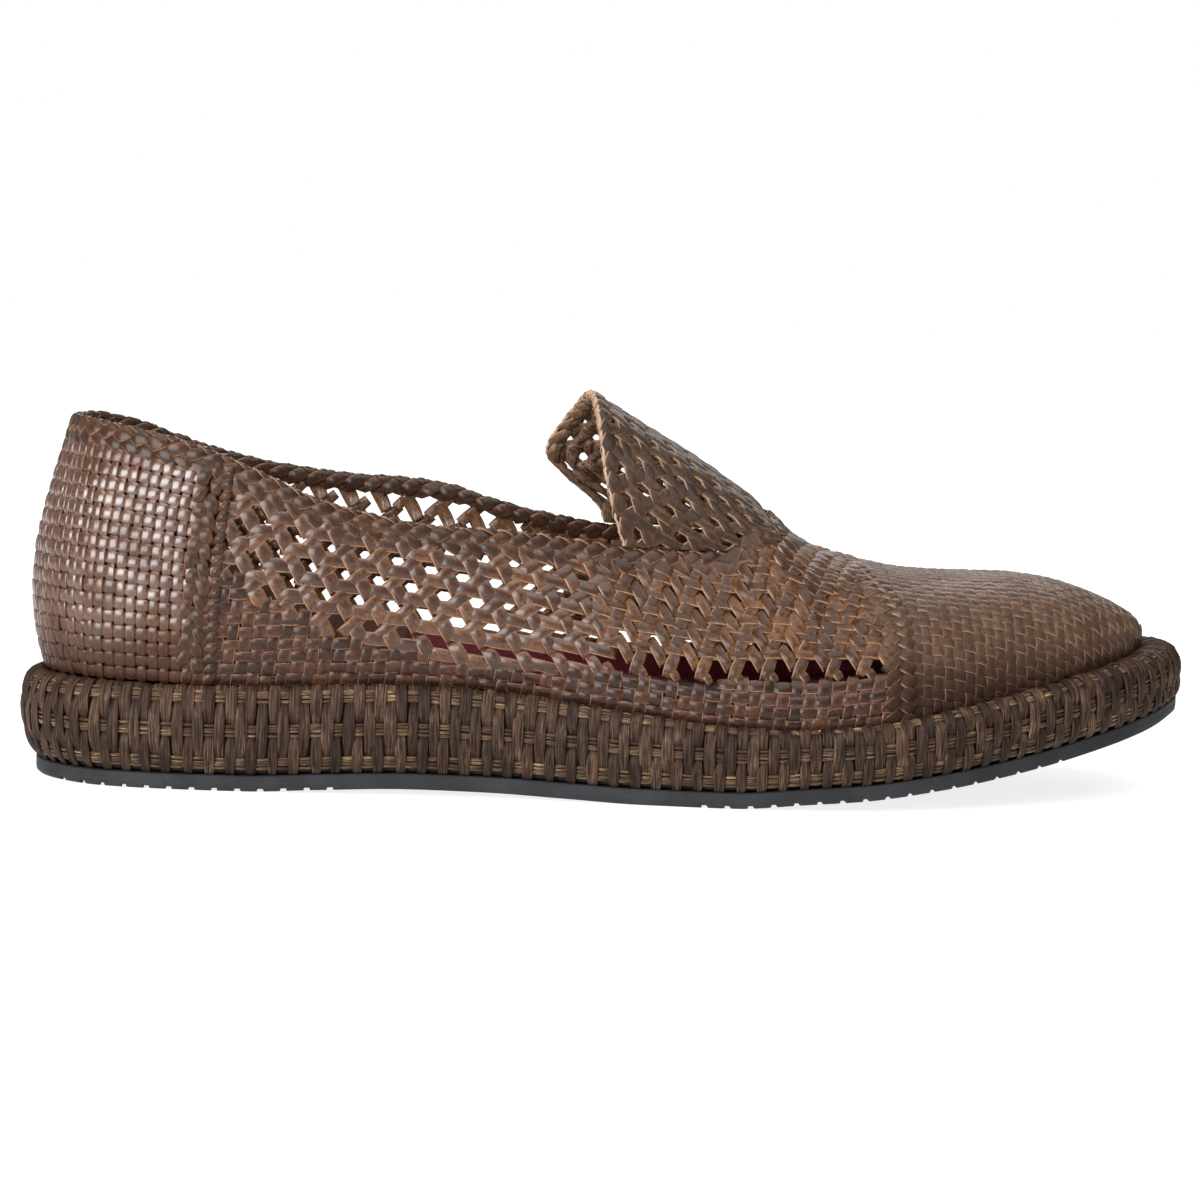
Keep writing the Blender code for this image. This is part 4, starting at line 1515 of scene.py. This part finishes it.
def make_tongue():
    """Rows run round the arch, every other one half a step on; a plait edges them."""
    i, k = lattice(0, 10, -9, 10)
    across = (i + 0.5 * (k % 2)) * TONGUE_STEP
    back = (k + 0.75) * TONGUE_ROW
    wide = TONGUE.columns[-1]
    bundle = Bundle()
    for x0, up0, x1, up1, width, high, roll in TONGUE_REPEAT:
        middle = across + 0.5 * (x0 + x1)
        depth = back + 0.5 * (up0 + up1)
        short = 1.5 + 7.5 * np.clip(1.5 - np.abs(middle) / 14.0, 0.0, 1.0)
        keep = (np.abs(middle) < wide - 0.5) & (depth > 1.5) & (depth < TONGUE.height(middle) - short)
        start = beside(across + x0, np.maximum(back + up0, 1.0))[keep]
        end = beside(across + x1, np.maximum(back + up1, 1.0))[keep]
        width = width * (1.0 + INSIDE_WIDER * np.clip(middle / 8.0, 0.0, 1.0))
        bundle.add_strips(tongue_place, start, end, width[keep], high=high, crown=0.08, roll=roll,
                          taper=0.06, flat=3.0)
    count = int(2 * wide / EDGE_STEP)
    at = -wide + (np.arange(count) + 0.5) * 2 * wide / count
    for on, to, width, high, low, thick, crown in EDGE_LEAVES:
        bundle.add_strips(tongue_place, beside(at - EDGE_REACH, on), beside(at + EDGE_REACH, to), width,
                          high=high, low=low, thick=thick, crown=crown, taper=0.35)
    bundle.make("tongue_plait", TONGUE_LEATHER, "tongue_leather", "tongue")


def make_tongue_edge():
    """The cut edge of the tongue, a thin ragged band of raw hide."""
    wide = TONGUE.columns[-1]
    run = np.linspace(-wide, wide, 240)[:, None]
    turn = np.linspace(0.0, 2.0 * math.pi, 9)[:-1]
    ragged = 0.12 * np.sin(run * 2.3) + 0.10 * np.sin(run * 5.1 + 1.0)
    points = tongue_place(*np.broadcast_arrays(
        run, 0.35 + ragged + 0.42 * np.cos(turn), -0.55 + 0.80 * np.sin(turn)))
    edge = Bundle()
    edge.add_tubes(points[None], 0.95, 0.5, 0.0, beside(run, turn, 0.0)[None])
    backing("tongue_root", TONGUE, np.linspace(-21.0, 21.0, 60), 3.2, ROOT, TONGUE_LEATHER, -1.2,
            "tongue_leather")
    edge.make("tongue_cut_edge", CUT_EDGE, "tongue_leather", "tongue")


for hand in SIDES:
    make_side_seam(hand)
    make_cap_seam(hand)
make_collar()
make_tongue()
make_tongue_edge()


# ----------------------------------------
# The sole: wrapped midsole, outsole and insole.

def wrap_lines(side):
    """Profiles of the midsole: up the wall, over its edge and in along the ledge."""
    tuck = read(SOLE, 6, STATIONS)
    low = read(SOLE, 3, STATIONS) + OUTSOLE_THICKNESS + GAP
    high = read(SOLE, 4, STATIONS)
    lines = [
        np.column_stack([inset_outline(side, STATIONS, share * tuck + inset), low + height * (high - low)])
        for height, share, inset in MIDSOLE_WALL
    ]
    ledge = inset_outline(side, STATIONS, read(SOLE, 5, STATIONS) + 1.0)
    return np.stack([*lines, np.column_stack([ledge, high - 0.3])], axis=1)


WRAP_COLUMNS, WRAP_LAP = 1100, 4.0      # the chart, and how far its ends lap over in length


def wrap_sheet():
    """The midsole's chart and its length: once round, back outside and forward inside."""
    points = np.concatenate([wrap_lines(LATERAL)[::-1], wrap_lines(MEDIAL)[1:-1]])
    run = run_along(np.concatenate([points, points[:1]])[:, 3])
    total = run[-1]
    more = 12           # sections that lap over where the chart meets itself
    points = np.concatenate([points[-more:], points, points[:more + 1]])
    columns = np.concatenate([run[-1 - more:-1] - total, run[:-1], run[:more + 1] + total])
    even = np.linspace(-WRAP_LAP, total + WRAP_LAP, WRAP_COLUMNS)
    return Sheet(even, resample(even, columns, points), -1.0), total


WRAP, WRAP_ROUND = wrap_sheet()


def wrap_place(run, distance, out):
    return WRAP.place(np.mod(run, WRAP_ROUND), distance, out)


def wrap_x(run):
    return wrap_place(run, np.full(len(run), 3.0), 0.0)[:, 0]


STRANDS = 130
STRAND_STEP = WRAP_ROUND / STRANDS
# Heights of the three bands of canes up the wall: at the heel, and at the forefoot, where the
# wall is lower and the third lies on the ledge.
CANE_BANDS = (
    # x, low, middle, high
    (-152.5, 3.0, 11.8, 20.6),
    (-60.0, 3.0, 11.6, 20.2),
    (-10.0, 2.8, 10.6, 18.6),
    (40.0, 2.6, 9.0, 16.6),
    (110.0, 2.4, 8.2, 15.6),
    (152.5, 2.2, 7.6, 15.0),
)
CANES = 4
CANE_GAP = 0.82
CANE_RADIUS = 0.46


def make_strands():
    """Strands that go up the wall and over the ledge, in turn in front of and behind the canes."""
    strands = Bundle()

    def add(start, end, width, **shape):
        shape = {"low": -0.75, "crown": 0.24, "taper": 0.32, "rings": 11, **shape}
        strands.add_strips(wrap_place, start, end, width, jitter=0.06, section=RIBBED_RING, **shape)

    for shift in (0.0, 0.5):
        at = (np.arange(STRANDS) + shift) * STRAND_STEP
        low, middle, high = (read(CANE_BANDS, i, wrap_x(at)) for i in (1, 2, 3))
        top = WRAP.height(at)
        # four draws a strand, of which three are used
        foot, waist, head = (at + rng.normal(0.0, 0.18, (4, STRANDS)))[:3]
        if shift == 0.0:
            # behind the low and high bands, in front of the middle one, and a stub on the ledge
            add(beside(foot, low - 0.6), beside(waist, high + 0.4), 3.2, high=0.95, flat=2.3, taper=0.36)
            add(beside(waist, high - 1.0), beside(head, top), 3.2, high=0.25, low=-0.7, crown=0.20,
                taper=0.12, rings=8)
        else:
            # in front of the low band, behind the middle one, over the high one and the ledge
            add(beside(foot, -1.2), beside(waist, middle - 0.4), 3.1, high=0.85, flat=2.3, rings=9)
            add(beside(waist, middle + 0.4), beside(head, top), 3.2, high=0.90, flat=2.4)
    strands.make("wrapping_strands", STRAND_RAFFIA, "midsole_raffia", "midsole")


def make_canes():
    """Bands of thin canes that run round the shoe and wave between the strands."""
    samples = STRANDS * 6
    run = np.arange(samples) * WRAP_ROUND / samples
    wave = 0.28 * np.cos(2.0 * math.pi * run / STRAND_STEP)
    ring = np.linspace(0.0, 2.0 * math.pi, 7)[:-1]
    canes = Bundle()
    for band, phase in ((1, 1.0), (2, -1.0), (3, 1.0)):
        level = read(CANE_BANDS, band, wrap_x(run))
        for cane in range(CANES):
            drift = 0.16 * np.sin(run / 23.0 + 2.1 * cane) + 0.10 * np.sin(run / 6.1 + cane)
            distance = level + (cane - 0.5 * (CANES - 1)) * CANE_GAP + drift
            out = phase * wave - 0.10 + 0.08 * np.sin(run / 9.0 + 1.7 * cane)
            points = wrap_place(*np.broadcast_arrays(
                run[:, None], distance[:, None] + CANE_RADIUS * np.cos(ring),
                out[:, None] + CANE_RADIUS * np.sin(ring)))
            strip = beside(run[:, None], ring * CANE_RADIUS, 7.0 * cane + 31.0 * band)
            canes.add_tubes(points[None], 0.0, rng.random(), 0.0, strip[None], closed=True)
    canes.make("wrapping_canes", CANE_RAFFIA, "midsole_raffia", "midsole")


def make_core():
    """What shows between the strands: a skin behind the canes, painted near black as shade."""
    columns = np.linspace(0.0, WRAP_ROUND, 401)[:-1]
    distance = WRAP.height(columns)[:, None] * np.linspace(0.0, 1.0, 16)
    layer("wrapping_core", wrap_place, columns, distance, -1.0, CORE, "midsole_raffia", "midsole",
          thick=0.8, closed=True)


def both_sides(profile):
    """Rings across the shoe, up one side's profile and back down the other's."""
    outer, inner = (np.stack(list(profile(side)), axis=1) for side in SIDES)
    return np.concatenate([outer, inner[:, ::-1]], axis=1)


GROOVE_STEP, GROOVE_WIDTH, GROOVE_DEPTH = 5.9, 1.3, 0.65
GROOVES = [*np.arange(-145.0, -70.0, GROOVE_STEP), *np.arange(20.0, 120.0, GROOVE_STEP)]
OUTSOLE_PROFILE = (
    # height share, inset, share of the groove, share of the half width where not the inset's
    (1.00, 3.0, 0.0, None),
    (1.00, 0.3, 0.0, None),
    (0.94, 0.0, 0.0, None),
    (0.40, 0.0, 0.0, None),
    (0.16, 0.15, 0.6, None),
    (0.04, 0.7, 1.0, None),
    (0.0, 1.6, 1.0, None),
    (0.0, 1.6, 1.0, 0.6),
    (0.0, 1.6, 1.0, 0.2),
)


def make_outsole():
    """A thin rubber sole with a rounded edge and shallow grooves across it."""
    edges = [x + step for x in GROOVES for step in (-0.25, 0.0, GROOVE_WIDTH, GROOVE_WIDTH + 0.25)]
    x = np.unique(np.concatenate([STATIONS[::3], edges]))
    tuck = read(SOLE, 6, x)
    ground = read(SOLE, 3, x)
    cut = np.zeros(len(x))
    for start in GROOVES:
        cut[(x >= start - 0.01) & (x <= start + GROOVE_WIDTH + 0.01)] = GROOVE_DEPTH
    cut[[0, -1]] = 0.0

    def profile(side):
        for height, inset, depth, share in OUTSOLE_PROFILE:
            place = inset_outline(side, x, tuck + inset)
            if share:
                place[:, 1] = side * share * np.abs(inset_outline(side, x, tuck)[:, 1])
            yield np.column_stack([place, ground + height * OUTSOLE_THICKNESS + depth * cut])

    ring_solid("grooved_outsole", both_sides(profile), RUBBER, "outsole_rubber", "outsole",
               smooth=False, whole_ends=True)


def make_insole():
    """The sock: a shallow dished pad with a turned edge."""
    keep = STATIONS[(STATIONS > -149.0) & (STATIONS < 149.0)][::3]
    x = np.concatenate([[-0.5 * LENGTH], keep, [0.5 * LENGTH]])
    ledge = read(SOLE, 5, x)
    flat = 1.0 - np.abs(2.0 * x / LENGTH) ** 6

    def profile(side):
        lines = []
        for height, inset in ((0.0, 0.9), (0.3, 0.6), (0.75, 0.7), (0.93, 1.1), (1.0, 2.0)):
            place = inset_outline(side, x, ledge + UPPER_WALL + inset)
            feather = read(SOLE, 4, place[:, 0])
            lines.append(np.column_stack([place, feather + GAP + height * INSOLE_THICKNESS]))
        rim = lines[-1]
        for share, dip in ((0.75, 0.25), (0.45, 0.5), (0.15, 0.6)):
            lines.append(rim * (1.0, share, 1.0) - dip * flat[:, None] * (0.0, 0.0, 1.0))
        return lines

    ring_solid("leather_insole", both_sides(profile), BURGUNDY, "insole_leather", "insole",
               whole_ends=True)


make_strands()
make_canes()
make_core()
make_outsole()
make_insole()
